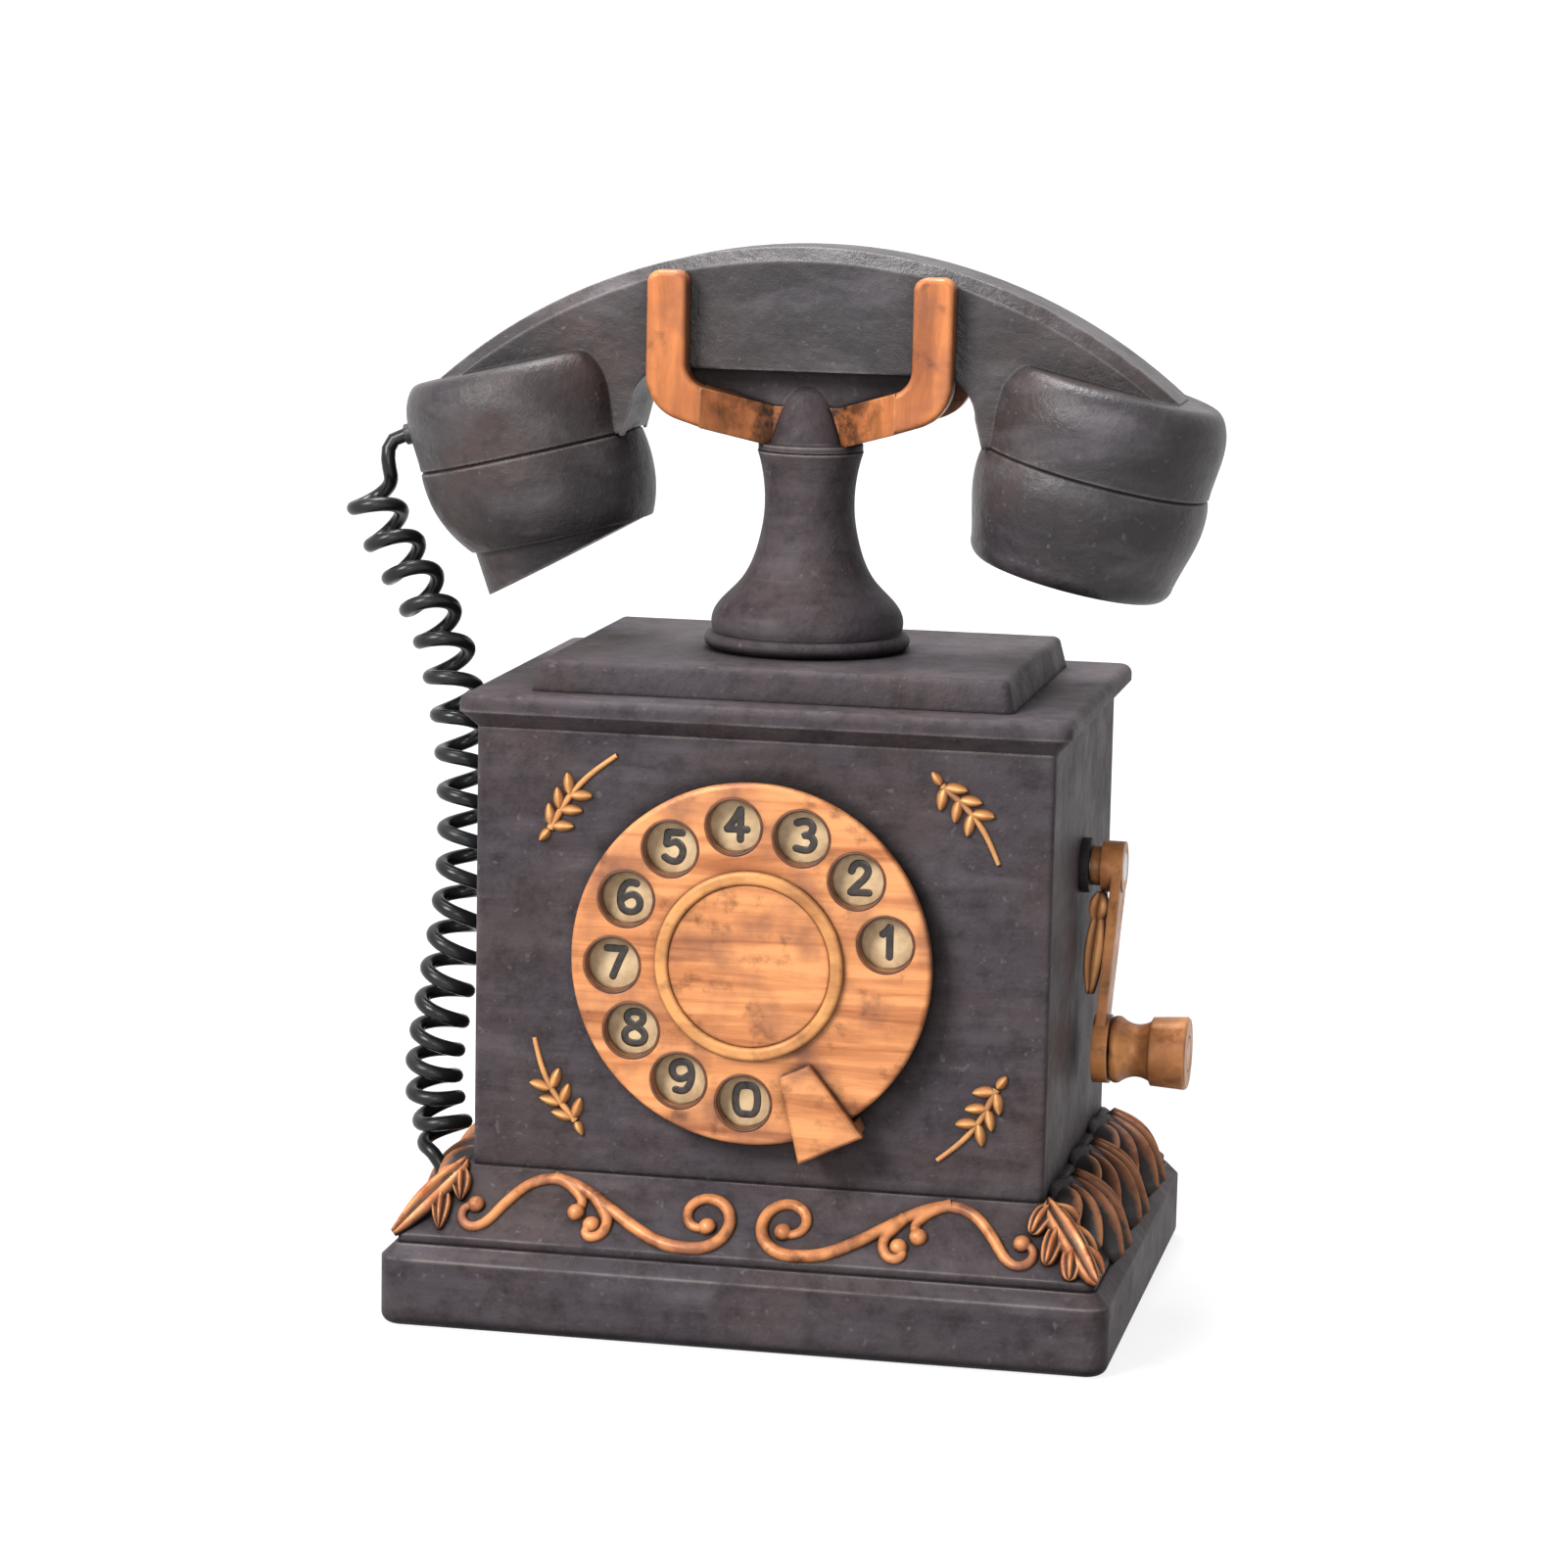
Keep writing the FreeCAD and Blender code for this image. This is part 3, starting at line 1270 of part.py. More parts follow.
def governor(axis, plate_end):
    """Spindle with a pinion and two fly weights, driven by the dial's gear."""
    spindle = rod(governor_spindle_radius, axis - BACK * governor_pivot, axis + BACK * plate_end)
    pinion = gear(governor_teeth, dial_module, dial_gear_width, governor_spindle_radius)
    half_tooth = 180.0 / governor_teeth
    meshing = FreeCAD.Rotation(ACROSS, -90).multiply(FreeCAD.Rotation(UP, -governor_angle + half_tooth))
    pinion = placed(pinion, axis + BACK * dial_gear_start, meshing)
    weight_start = barrel_start + governor_cup_wall
    reach = governor_radius - governor_weight_radius
    bar = span_box((-reach, reach), (0, governor_width),
                   (-governor_spindle_radius, governor_spindle_radius))
    weights = [bar]
    for side in (-1, 1):
        weights.append(rod(governor_weight_radius, V(side * reach, 0, 0),
                           V(side * reach, governor_width, 0)))
    weights = fused(weights)
    weights.translate(axis + BACK * weight_start)
    return fused([spindle, pinion, weights])


def crank_point(x, radius=0.0):
    """Point on the crank's axis, or straight below it at a radius."""
    return V(x, 0, crank_z - radius)


def crank_pieces():
    """Bush, shaft with its gear, leaning arm, pin and knob."""
    flange_x = wall_x + bush_flange
    collar_x = flange_x + rest_gap
    hub_x = collar_x + crank_collar
    arm_x = hub_x + crank_hub_width
    bush = fused([rod(bush_radius, crank_point(inner_x), crank_point(flange_x)),
                  rod(bush_flange_radius, crank_point(wall_x), crank_point(flange_x))])
    bush = bush.cut(rod(crank_shaft_radius + running, crank_point(inner_x - 1),
                        crank_point(flange_x + 1)))
    shaft = rod(crank_shaft_radius, crank_point(magneto_right_x - magneto_plate), crank_point(arm_x))

    upper_x = arm_x - crank_arm_thickness
    lower_x = upper_x - crank_arm_lean
    strap = []
    for x, radius, half in ((upper_x, 0, crank_hub_radius), (lower_x, crank_throw, crank_arm_end)):
        spots = [V(x, -half, crank_z - radius), V(x + crank_arm_thickness, -half, crank_z - radius),
                 V(x + crank_arm_thickness, half, crank_z - radius), V(x, half, crank_z - radius)]
        strap.append(Part.makePolygon(spots + spots[:1]))
    arm = fused([Part.makeLoft(strap, True, True),
                 rod(crank_hub_radius, crank_point(hub_x), crank_point(arm_x)),
                 rod(crank_collar_radius, crank_point(collar_x), crank_point(hub_x)),
                 rod(crank_eye_radius, crank_point(lower_x, crank_throw),
                     crank_point(lower_x + crank_eye_width, crank_throw))])
    knob_x = lower_x + crank_eye_width + rest_gap
    knob_end = knob_x + knob_flange + knob_waist + knob_drum
    head_x = knob_end - crank_pin_head
    pin = fused([rod(crank_pin_radius, crank_point(lower_x, crank_throw),
                     crank_point(head_x, crank_throw)),
                 rod(crank_pin_head_radius, crank_point(head_x, crank_throw),
                     crank_point(knob_end, crank_throw))])
    arm = arm.cut(shaft).cut(rod(crank_pin_radius, crank_point(lower_x - 1, crank_throw),
                                 crank_point(knob_x, crank_throw)))

    big_gear = gear(crank_gear_teeth, magneto_module, magneto_gear_width, crank_shaft_radius)
    big_gear = placed(big_gear, crank_point(gear_x), FreeCAD.Rotation(BACK, 90))
    return {"crank_bush": bush, "crank_shaft": shaft, "crank_arm": arm, "crank_pin": pin,
            "crank_gear": big_gear,
            "crank_knob": crank_knob(knob_x, head_x)}


def crank_knob(start, head_x):
    """Turned grip, free to spin on its pin."""
    waist_x = knob_flange + knob_waist
    end = waist_x + knob_drum
    bore = crank_pin_radius + running
    socket = crank_pin_head_radius + rest_gap
    head = head_x - start - rest_gap
    bead = Part.Arc(V(knob_flange_radius - knob_groove, 0, 0), V(knob_flange_radius, 0, knob_flange / 2),
                    V(knob_flange_radius - knob_groove, 0, knob_flange)).toShape()
    edges = outline([(socket, end), (socket, head), (bore, head), (bore, 0),
                     (knob_flange_radius - knob_groove, 0)])
    edges.append(bead)
    edges.append(flowing([(knob_flange_radius - knob_groove, knob_flange),
                          (knob_waist_radius, knob_flange + knob_waist / 2),
                          (knob_drum_radius - 3 * knob_groove, waist_x)]))
    edges += outline([(knob_drum_radius - 3 * knob_groove, waist_x),
                      (knob_drum_radius - knob_groove, waist_x + knob_groove),
                      (knob_drum_radius, end - knob_groove), (knob_drum_radius - knob_groove, end),
                      (socket, end)])
    return placed(turned(edges), crank_point(start, crank_throw), FreeCAD.Rotation(BACK, 90))


def magneto_pieces():
    """Frame with pole shoes, horseshoe magnets and the armature with its pinion."""
    left = magneto_left_x
    inside_left = left + magneto_plate
    inside_right = inside_left + magneto_length
    right = magneto_right_x
    half = magneto_half_depth
    foot = span_box((left, right), (-half, half), (plinth_height, plinth_height + magneto_foot))
    low_plate = span_box((left, inside_left), (-half, half),
                         (plinth_height, armature_z + armature_radius))
    high_plate = span_box((inside_right, right), (-half, half),
                          (plinth_height, crank_z + magneto_plate_top))
    pole_out = half - magnet_thickness
    bore = armature_radius + armature_gap
    poles = span_box((inside_left, inside_right), (-pole_out, pole_out),
                     (armature_z - pole_height, armature_z + pole_height))
    axis_start = V(left - 1, 0, armature_z)
    poles = poles.cut(rod(bore, axis_start, V(right + 1, 0, armature_z)))
    slot = pole_out / 2
    poles = poles.cut(span_box((left, right), (-slot, slot), (armature_z - bore, armature_z + bore)))
    frame = fused([foot, low_plate, high_plate, poles])
    frame = frame.cut(rod(armature_shaft_radius + running, axis_start, V(right + 1, 0, armature_z)))
    frame = frame.cut(rod(crank_shaft_radius + running, crank_point(inside_right - 1),
                          crank_point(right + 1)))

    gap = (magneto_length - magnet_count * magnet_width) / (magnet_count + 1)
    magnets = []
    for index in range(magnet_count):
        x = inside_left + gap + index * (magnet_width + gap)
        arch = ring(half, pole_out, crank_point(x), crank_point(x + magnet_width))
        arch = arch.common(span_box((x, x + magnet_width), (-half, half), (crank_z, crank_z + half)))
        legs = []
        for side in (-1, 1):
            faces = sorted((side * half, side * pole_out))
            legs.append(span_box((x, x + magnet_width), faces, (armature_z - pole_height, crank_z)))
        magnets.append(fused([arch] + legs))

    pinion = gear(armature_teeth, magneto_module, magneto_gear_width, armature_shaft_radius)
    half_tooth = 180.0 / armature_teeth
    meshing = FreeCAD.Rotation(BACK, 90).multiply(FreeCAD.Rotation(UP, half_tooth))
    pinion = placed(pinion, V(gear_x, 0, armature_z), meshing)
    core_left = inside_left + armature_end_gap
    core = rod(armature_radius, V(core_left, 0, armature_z),
               V(inside_right - armature_end_gap, 0, armature_z))
    shaft = rod(armature_shaft_radius, V(left, 0, armature_z),
                V(gear_x + magneto_gear_width, 0, armature_z))
    armature = fused([shaft, core, pinion])
    return {"magneto_frame": frame, "magneto_magnets": Part.makeCompound(magnets),
            "magneto_armature": armature}


def gong(x):
    """Bell cup, open below, bored for its screw."""
    rise = gong_height - gong_wall
    outer = flowing([(gong_radius, 0), (gong_shoulder_radius, gong_shoulder_height),
                     (gong_crown_radius, gong_height)],
                    (-0.2, 1), (-1, 0))
    inner = flowing([(gong_crown_radius, rise),
                     (gong_shoulder_radius - gong_wall, gong_shoulder_height - gong_wall),
                     (gong_radius - gong_wall, 0)], (1, 0), (0.2, -1))
    edges = [outer] + outline([(gong_crown_radius, gong_height), (gong_screw_radius, gong_height),
                               (gong_screw_radius, rise),
                               (gong_crown_radius, rise)])
    edges.append(inner)
    edges += outline([(gong_radius - gong_wall, 0), (gong_radius, 0)])
    return placed(turned(edges), V(x, ringer_y, gong_z), FreeCAD.Rotation())


def ringer_pieces():
    """Base with gong posts, two gongs, two coils and the clapper between the gongs."""
    x_span = (ringer_x - ringer_plate_half_x, ringer_x + ringer_plate_half_x)
    y_span = (ringer_y - ringer_plate_half_y, ringer_y + ringer_plate_half_y)
    plate = span_box(x_span, y_span, (plinth_height, ringer_z))
    coil_top = ringer_z + coil_height
    seat = gong_z + gong_height - gong_wall
    posts = [plate]
    coils = []
    for side in (-1, 1):
        x = ringer_x + side * gong_spacing
        posts.append(rod(gong_post_radius, V(x, ringer_y, ringer_z), V(x, ringer_y, seat)))
        posts.append(rod(gong_screw_radius, V(x, ringer_y, seat), V(x, ringer_y, gong_z + gong_height)))
        posts.append(rod(gong_nut_radius, V(x, ringer_y, gong_z + gong_height),
                         V(x, ringer_y, gong_z + gong_height + gong_nut)))
        x = ringer_x + side * coil_spacing
        winding = rod(coil_radius - coil_flange, V(x, ringer_y, ringer_z), V(x, ringer_y, coil_top))
        lower = rod(coil_radius, V(x, ringer_y, ringer_z), V(x, ringer_y, ringer_z + coil_flange))
        upper = rod(coil_radius, V(x, ringer_y, coil_top - coil_flange), V(x, ringer_y, coil_top))
        core = rod(coil_core_radius, V(x, ringer_y, coil_top), V(x, ringer_y, coil_top + coil_flange))
        coils.append(fused([winding, lower, upper, core]))
    for side in (-1, 1):
        inner = side * (clapper_bar_width / 2 + rest_gap)
        faces = sorted((ringer_y + inner, ringer_y + inner + side * clapper_cheek))
        cheek_x = (ringer_x - clapper_cheek, ringer_x + clapper_cheek)
        posts.append(span_box(cheek_x, faces, (ringer_z, hinge_z + clapper_cheek)))
    base = fused(posts)
    pin_low = V(ringer_x, ringer_y - clapper_bar_width / 2 - rest_gap - clapper_cheek, hinge_z)
    pin_high = V(ringer_x, ringer_y + clapper_bar_width / 2 + rest_gap + clapper_cheek, hinge_z)
    base = base.cut(rod(clapper_pin_radius + running, pin_low - BACK, pin_high + BACK))
    ball_z = gong_z + clapper_ball_radius / 2
    bar = span_box((ringer_x - clapper_bar_half, ringer_x + clapper_bar_half),
                   (ringer_y - clapper_bar_width / 2, ringer_y + clapper_bar_width / 2),
                   (hinge_z - clapper_bar / 2, hinge_z + clapper_bar / 2))
    wire = rod(clapper_rod_radius, V(ringer_x, ringer_y, hinge_z), V(ringer_x, ringer_y, ball_z))
    ball = Part.makeSphere(clapper_ball_radius, V(ringer_x, ringer_y, ball_z))
    clapper = fused([bar, wire, ball, rod(clapper_pin_radius, pin_low, pin_high)])
    return {"ringer_base": base, "ringer_coils": Part.makeCompound(coils),
            "gong_left": gong(ringer_x - gong_spacing), "gong_right": gong(ringer_x + gong_spacing),
            "ringer_clapper": clapper}


def deck_pieces():
    """Condenser can and terminal block with its screws."""
    wide, deep, tall = condenser_size
    x = condenser_clearance[0] + wide / 2 - inner_x
    y = condenser_clearance[1] + deep / 2 - inner_y
    condenser = span_box((x - wide / 2, x + wide / 2), (y - deep / 2, y + deep / 2),
                         (plinth_height, plinth_height + tall))
    wide, deep, tall = terminal_size
    x = terminal_x
    y = terminal_clearance + deep / 2 - inner_y
    block = span_box((x - wide / 2, x + wide / 2), (y - deep / 2, y + deep / 2),
                     (plinth_height, plinth_height + tall))
    heads = [block]
    for index in range(terminal_count):
        spot = V(x + wide * ((index + 0.5) / terminal_count - 0.5), y, plinth_height + tall)
        heads.append(rod(terminal_screw_radius, spot, spot + UP * terminal_screw_height))
    return {"condenser": condenser, "terminal_block": fused(heads)}


def slope_point(along, up, lift=0.0):
    """Point on the coving's front slope, or above it by a lift."""
    foot = V(0, -coving_depth / 2, plinth_height + coving_lip)
    top = V(0, -case_depth / 2 - coving_top_margin, case_z)
    climb = (top - foot).normalize()
    span = along * band_half_x / scroll_half_span
    return foot + ACROSS * span + climb * up + ACROSS.cross(climb) * lift


def strand(guide, half_width):
    """Relief strand through guide points on the slope, with a bud at its end."""
    spots = [slope_point(along, up) for along, up in guide]
    normal = slope_point(0, 0, 1) - slope_point(0, 0)
    sweep = relief_sweep(biarc_edges(spots, guide_tangents(spots)), half_width, scroll_height, normal)
    return [sweep, bud(spots[-1], normal)]


def bud(spot, normal):
    """Small dome that ends a strand."""
    return Part.makeSphere(scroll_bud, spot, normal, 0, 90, 360)


def scroll_left():
    """S-shaped scroll with a volute by the middle, a small end curl and two tendrils."""
    volute = []
    for step in range(volute_steps + 1):
        share = step / volute_steps
        radius = volute_outer - (volute_outer - volute_inner) * share ** volute_tightening
        angle = math.radians(volute_from + volute_sweep * share)
        volute.append((volute_centre[0] + radius * math.cos(angle),
                       volute_centre[1] + radius * math.sin(angle)))
    main = strand(list(reversed(scroll_wave)) + volute, scroll_half_width)
    upper = strand(tendril_upper, tendril_half_width)
    lower = strand(tendril_lower, tendril_half_width)
    curl = bud(slope_point(*scroll_wave[-1]), slope_point(0, 0, 1) - slope_point(0, 0))
    return fused(main + upper + lower + [curl])


def lobe(root, tip, normal, width, height):
    """Leaf-shaped swelling from root to tip, highest and widest before its middle."""
    along = tip - root
    side = along.cross(normal).normalize()
    wires = []
    for share, breadth, rise in leaf_sections:
        spot = root + along * share
        low = spot - normal * leaf_bed
        start = low - side * (breadth * width / 2)
        end = low + side * (breadth * width / 2)
        crest = spot + normal * (height * rise)
        wires.append(Part.Wire([Part.Arc(start, crest, end).toShape(), Part.makeLine(end, start)]))
    return Part.makeLoft(wires, True, False)


def corner_leaf_left():
    """Acanthus leaf that folds over the coving's front left corner."""
    foot = V(-coving_width / 2, -coving_depth / 2, plinth_height + coving_lip)
    top = V(-case_width / 2 - coving_top_margin, -case_depth / 2 - coving_top_margin, case_z)
    drop = (foot - top).Length
    down = (foot - top).normalize()
    front_normal = ACROSS.cross(down * -1).normalize()
    side_normal = BACK.cross(down).normalize()
    ridge_normal = (front_normal + side_normal).normalize()
    shapes = [lobe(top, foot + down * corner_leaf_reach, ridge_normal, corner_leaf_width,
                   corner_leaf_height)]
    for level, normal in ((ACROSS, front_normal), (BACK, side_normal)):
        aside = level - down * level.dot(down)
        aside.normalize()
        for share, length, angle in corner_lobes:
            root = top + down * (drop * share)
            turn = math.radians(angle)
            heading = down * math.cos(turn) + aside * math.sin(turn)
            shapes.append(lobe(root, root + heading * (drop * length), normal, corner_lobe_width,
                               corner_lobe_height))
    plinth_room = span_box((-coving_width, 0), (-coving_depth, 0), (0, plinth_height + rest_gap))
    return fused(shapes).cut(coving_block()).cut(plinth_room)


def side_leaves_left():
    """Row of slanted, ribbed leaves on the coving's left slope, clear of the cord gland."""
    foot_x = -coving_width / 2
    top_x = -case_width / 2 - coving_top_margin
    first = side_leaf_margin + side_leaf_slant - band_half_y
    last = band_half_y - side_leaf_margin
    climb = V(top_x - foot_x, 0, case_z - plinth_height - coving_lip)
    normal = BACK.cross(climb).normalize()
    shapes = []
    for index in range(side_leaf_count):
        y = first + (last - first) * index / (side_leaf_count - 1)
        root = V(top_x, y, case_z)
        tip = V(foot_x, y - side_leaf_slant, plinth_height + coving_lip)
        shapes.append(lobe(root, tip, normal, side_leaf_width, side_leaf_height))
        shapes.append(lobe(root, tip, normal, side_leaf_rib_width, side_leaf_rib_height))
    gland_room = rod(gland_radius + rest_gap, V(gland_x, gland_y, plinth_height),
                     V(gland_x, gland_y, case_z))
    return fused(shapes).cut(coving_block()).cut(gland_room)


def sprig(leafy, bare):
    """Bowed stem with pairs of small leaves at one end, in relief on the case front."""
    start = V(leafy[0], front_y, case_z + leafy[1])
    end = V(bare[0], front_y, case_z + bare[1])
    run = end - start
    along = V(run.x, run.y, run.z).normalize()
    outward = BACK * -1
    aside = along.cross(outward)
    middle = start + run * 0.5 + aside * sprig_bow
    stem_path = Part.Arc(start, middle, end).toShape()
    stem = relief_sweep([stem_path], sprig_stem_radius, sprig_leaf_height, outward)
    shapes = [stem, lobe(start, start - along * sprig_tip_length, outward, sprig_tip_width,
                         sprig_leaf_height)]
    for pair in range(sprig_leaf_pairs):
        share = (pair + sprig_first_pair) * sprig_leaf_pitch / run.Length
        span = stem_path.LastParameter - stem_path.FirstParameter
        spot = stem_path.valueAt(stem_path.FirstParameter + span * share)
        for side in (-1, 1):
            heading = (aside * side + along * sprig_leaf_sweep).normalize()
            shapes.append(lobe(spot, spot + heading * sprig_leaf_length, outward, sprig_leaf_width,
                               sprig_leaf_height))
    front = span_box((-case_width, case_width), (front_y, 0), (0, cap_z))
    return fused(shapes).cut(front)


def ornament_pieces():
    """Scrolls, corner leaves and side leaves in mirrored pairs, and the four sprigs."""
    pieces = {}
    lefts = {"scroll": scroll_left(), "corner_leaf": corner_leaf_left(),
             "side_leaves": side_leaves_left()}
    for name, left in lefts.items():
        pieces[name + "_left"] = left
        pieces[name + "_right"] = left.mirror(V(0, 0, 0), ACROSS)
    pieces["front_sprigs"] = Part.makeCompound([sprig(leafy, bare) for leafy, bare in sprig_ends])
    return pieces


os.makedirs("parts", exist_ok=True)
pieces = {"handset_cord": handset_cord()}
for make in (base_pieces, case_pieces, hook_pieces, cradle_pieces, handset_pieces, dial_face_pieces,
             movement_pieces,
             crank_pieces, magneto_pieces, ringer_pieces, deck_pieces, ornament_pieces):
    pieces.update(make())
for name, shape in pieces.items():
    if not shape.isValid():
        print("not valid", name)
    shape.exportStep("parts/" + name + ".step")
print(len(pieces), "pieces")
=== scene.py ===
import json
import math

import bmesh
import bpy
from mathutils import Matrix, Vector


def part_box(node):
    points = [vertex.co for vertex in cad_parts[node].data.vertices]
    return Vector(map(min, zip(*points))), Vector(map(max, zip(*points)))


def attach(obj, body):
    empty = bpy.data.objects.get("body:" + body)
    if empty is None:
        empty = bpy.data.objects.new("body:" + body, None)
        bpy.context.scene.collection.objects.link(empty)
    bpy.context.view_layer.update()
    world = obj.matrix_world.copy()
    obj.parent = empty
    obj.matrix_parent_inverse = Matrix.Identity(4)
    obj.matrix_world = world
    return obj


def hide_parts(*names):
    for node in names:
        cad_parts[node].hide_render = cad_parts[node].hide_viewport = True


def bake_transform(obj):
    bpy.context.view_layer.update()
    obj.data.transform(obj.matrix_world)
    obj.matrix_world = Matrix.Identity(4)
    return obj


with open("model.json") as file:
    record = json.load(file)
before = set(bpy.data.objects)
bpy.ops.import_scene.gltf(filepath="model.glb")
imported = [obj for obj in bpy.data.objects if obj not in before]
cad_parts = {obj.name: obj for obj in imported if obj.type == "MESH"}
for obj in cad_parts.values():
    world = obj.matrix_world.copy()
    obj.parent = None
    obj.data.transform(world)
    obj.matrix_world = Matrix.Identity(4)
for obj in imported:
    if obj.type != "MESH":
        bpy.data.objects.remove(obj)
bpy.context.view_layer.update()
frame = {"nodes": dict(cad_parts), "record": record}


# Plinth and coving
# A heavy stepped base of wood under charcoal paint, rubbed pale along its edges with a painted highlight, and
# darkened in its creases by dirt and painted shade.
# The sloped coving is glued on the plinth, and a steel plate with four screws closes it below.

charcoal_tone = (0.066, 0.054, 0.062, 1)
charcoal_rubbed = (0.17, 0.148, 0.162, 1)
# Pale edge colour: rubbed wear with a painted highlight.
charcoal_edge_wear_and_highlight = (0.5, 0.44, 0.42, 1)
charcoal_dark = (0.024, 0.019, 0.021, 1)
# Near-black crease colour: dirt with painted shade.
charcoal_crease_dirt_and_shade = (0.008, 0.006, 0.006, 1)
charcoal_rust = (0.095, 0.06, 0.05, 1)
charcoal_edge_wear_and_highlight_share = 0.85
flat_to_edge = (0.985, 0.86)
hollow_to_edge = (0.8, 0.97)
open_to_crease = (0.9, 0.5)
# Mottles that break up the painted edge highlight and the painted crease shade, and the least share of that
# shade.
edge_mottle = (0.34, 0.56)
crease_mottle = (0.25, 0.6)
least_crease = 0.55
mottle_span = (0.3, 0.7)
mask_samples = 4


def put(tree, kind, inputs=None, **settings):
    """Add a node, with its inputs set to values or linked to other nodes' outputs."""
    made = tree.nodes.new(kind)
    for name, value in settings.items():
        setattr(made, name, value)
    for name, value in (inputs or {}).items():
        if isinstance(value, bpy.types.NodeSocket):
            tree.links.new(value, made.inputs[name])
        else:
            made.inputs[name].default_value = value
    return made


def ranged(tree, value, low, high, start=0.0, end=1.0):
    """Output that runs from start to end while value runs from low to high."""
    made = put(tree, "ShaderNodeMapRange", {"Value": value, "From Min": low, "From Max": high,
                                            "To Min": start, "To Max": end})
    return made.outputs["Result"]


def product(tree, first, second):
    """Product of two values."""
    return put(tree, "ShaderNodeMath", {0: first, 1: second}, operation="MULTIPLY").outputs[0]


def blended(tree, share, first, second):
    """Mix of two colours."""
    made = put(tree, "ShaderNodeMix", {"Factor": share, 6: first, 7: second}, data_type="RGBA")
    return made.outputs[2]


def object_place(tree):
    """Place of the shaded point in the object's frame."""
    return put(tree, "ShaderNodeTexCoord").outputs["Object"]


def noise(tree, place, scale, detail, roughness=0.5, distortion=0.0):
    """Value of a noise texture at a place."""
    made = put(tree, "ShaderNodeTexNoise", {"Vector": place, "Scale": scale, "Detail": detail,
                                            "Roughness": roughness, "Distortion": distortion})
    return made.outputs["Fac"]


def shader_group(name, inputs, outputs):
    """Empty shader group with named sockets, and its two end nodes."""
    group = bpy.data.node_groups.new(name, "ShaderNodeTree")
    for socket, value in inputs.items():
        made = group.interface.new_socket(socket, in_out="INPUT", socket_type="NodeSocketFloat")
        made.default_value = value
    for socket, kind in outputs.items():
        group.interface.new_socket(socket, in_out="OUTPUT", socket_type=kind)
    return group, group.nodes.new("NodeGroupInput"), group.nodes.new("NodeGroupOutput")


def wear_and_light_surface():
    """Masks for edges, rubbed and given a painted highlight, and for creases, dirty and darkened by painted
    shade; also a mottle, and a normal that rounds the edges.
    """
    group, given, result = shader_group(
        "wear_and_light_surface", {"Edge Radius": 0.0008, "Crease Reach": 0.004, "Mottle Scale": 60.0},
        {"Edge": "NodeSocketFloat", "Crease": "NodeSocketFloat", "Mottle": "NodeSocketFloat",
         "Normal": "NodeSocketVector"})
    mottle = noise(group, object_place(group), given.outputs["Mottle Scale"], detail=6.0, roughness=0.62)
    radius = given.outputs["Edge Radius"]
    rounded = put(group, "ShaderNodeBevel", {"Radius": radius}, samples=mask_samples).outputs["Normal"]
    true_normal = put(group, "ShaderNodeNewGeometry").outputs["Normal"]
    facing = put(group, "ShaderNodeVectorMath", {0: rounded, 1: true_normal},
                 operation="DOT_PRODUCT").outputs["Value"]
    reach = given.outputs["Crease Reach"]
    openness = put(group, "ShaderNodeAmbientOcclusion", {"Distance": reach},
                   samples=mask_samples).outputs["AO"]
    # Edge: rubbed wear with a painted highlight. Crease: occlusion, giving dirt with painted shade.
    bent = ranged(group, facing, *flat_to_edge)
    outward = product(group, bent, ranged(group, openness, *hollow_to_edge))
    edge = product(group, outward, ranged(group, mottle, *edge_mottle))
    crease = product(group, ranged(group, openness, *open_to_crease),
                     ranged(group, mottle, *crease_mottle, start=least_crease))
    for name, value in (("Edge", edge), ("Crease", crease), ("Mottle", mottle), ("Normal", rounded)):
        group.links.new(value, result.inputs[name])
    return group


def brush_streaks():
    """Mask of dry brush strokes, drawn out along one axis."""
    group, given, result = shader_group(
        "brush_streaks", {"Along X": 14.0, "Along Y": 14.0, "Along Z": 160.0, "Least": 0.5, "Most": 0.72},
        {"Streak": "NodeSocketFloat"})
    stretch = put(group, "ShaderNodeCombineXYZ", {axis: given.outputs["Along " + axis] for axis in "XYZ"})
    drawn = put(group, "ShaderNodeVectorMath", {0: object_place(group), 1: stretch.outputs[0]},
                operation="MULTIPLY").outputs[0]
    strokes = noise(group, drawn, scale=1.0, detail=5.0, roughness=0.6, distortion=0.4)
    found = ranged(group, strokes, given.outputs["Least"], given.outputs["Most"])
    group.links.new(found, result.inputs["Streak"])
    return group


def stroke_values(x, y, z, least, most):
    """Values for brush strokes: how often they change along each axis, and the ends of the mask."""
    return {"Along X": x, "Along Y": y, "Along Z": z, "Least": least, "Most": most}


wear_light_group = wear_and_light_surface()
streak_group = brush_streaks()


def new_finish(name):
    """Material with only its shader, and that shader."""
    material = bpy.data.materials.new(name)
    material.use_nodes = True
    return material, material.node_tree, material.node_tree.nodes["Principled BSDF"]


def place_group(tree, group, values):
    """Group placed in a material with its own values; gives its outputs."""
    made = tree.nodes.new("ShaderNodeGroup")
    made.node_tree = group
    for name, value in values.items():
        made.inputs[name].default_value = value
    return made.outputs


def wear_light_masks(tree, edge_radius, crease_reach, mottle_scale):
    """Masks of wear and painted light in a material: its edges with a painted highlight, its creases with
    painted shade, and its mottle, with the rounded normal.
    """
    return place_group(tree, wear_light_group, {"Edge Radius": edge_radius, "Crease Reach": crease_reach,
                                          "Mottle Scale": mottle_scale})


def rough_by(tree, shader, mottle, smoothest, roughest):
    """Let the roughness follow a mottle."""
    tree.links.new(ranged(tree, mottle, *mottle_span, smoothest, roughest), shader.inputs["Roughness"])


def raised_by(tree, shader, height, normal, strength, depth):
    """Let a height raise and sink the surface a little."""
    bump = put(tree, "ShaderNodeBump", {"Strength": strength, "Distance": depth, "Height": height,
                                        "Normal": normal})
    tree.links.new(bump.outputs["Normal"], shader.inputs["Normal"])


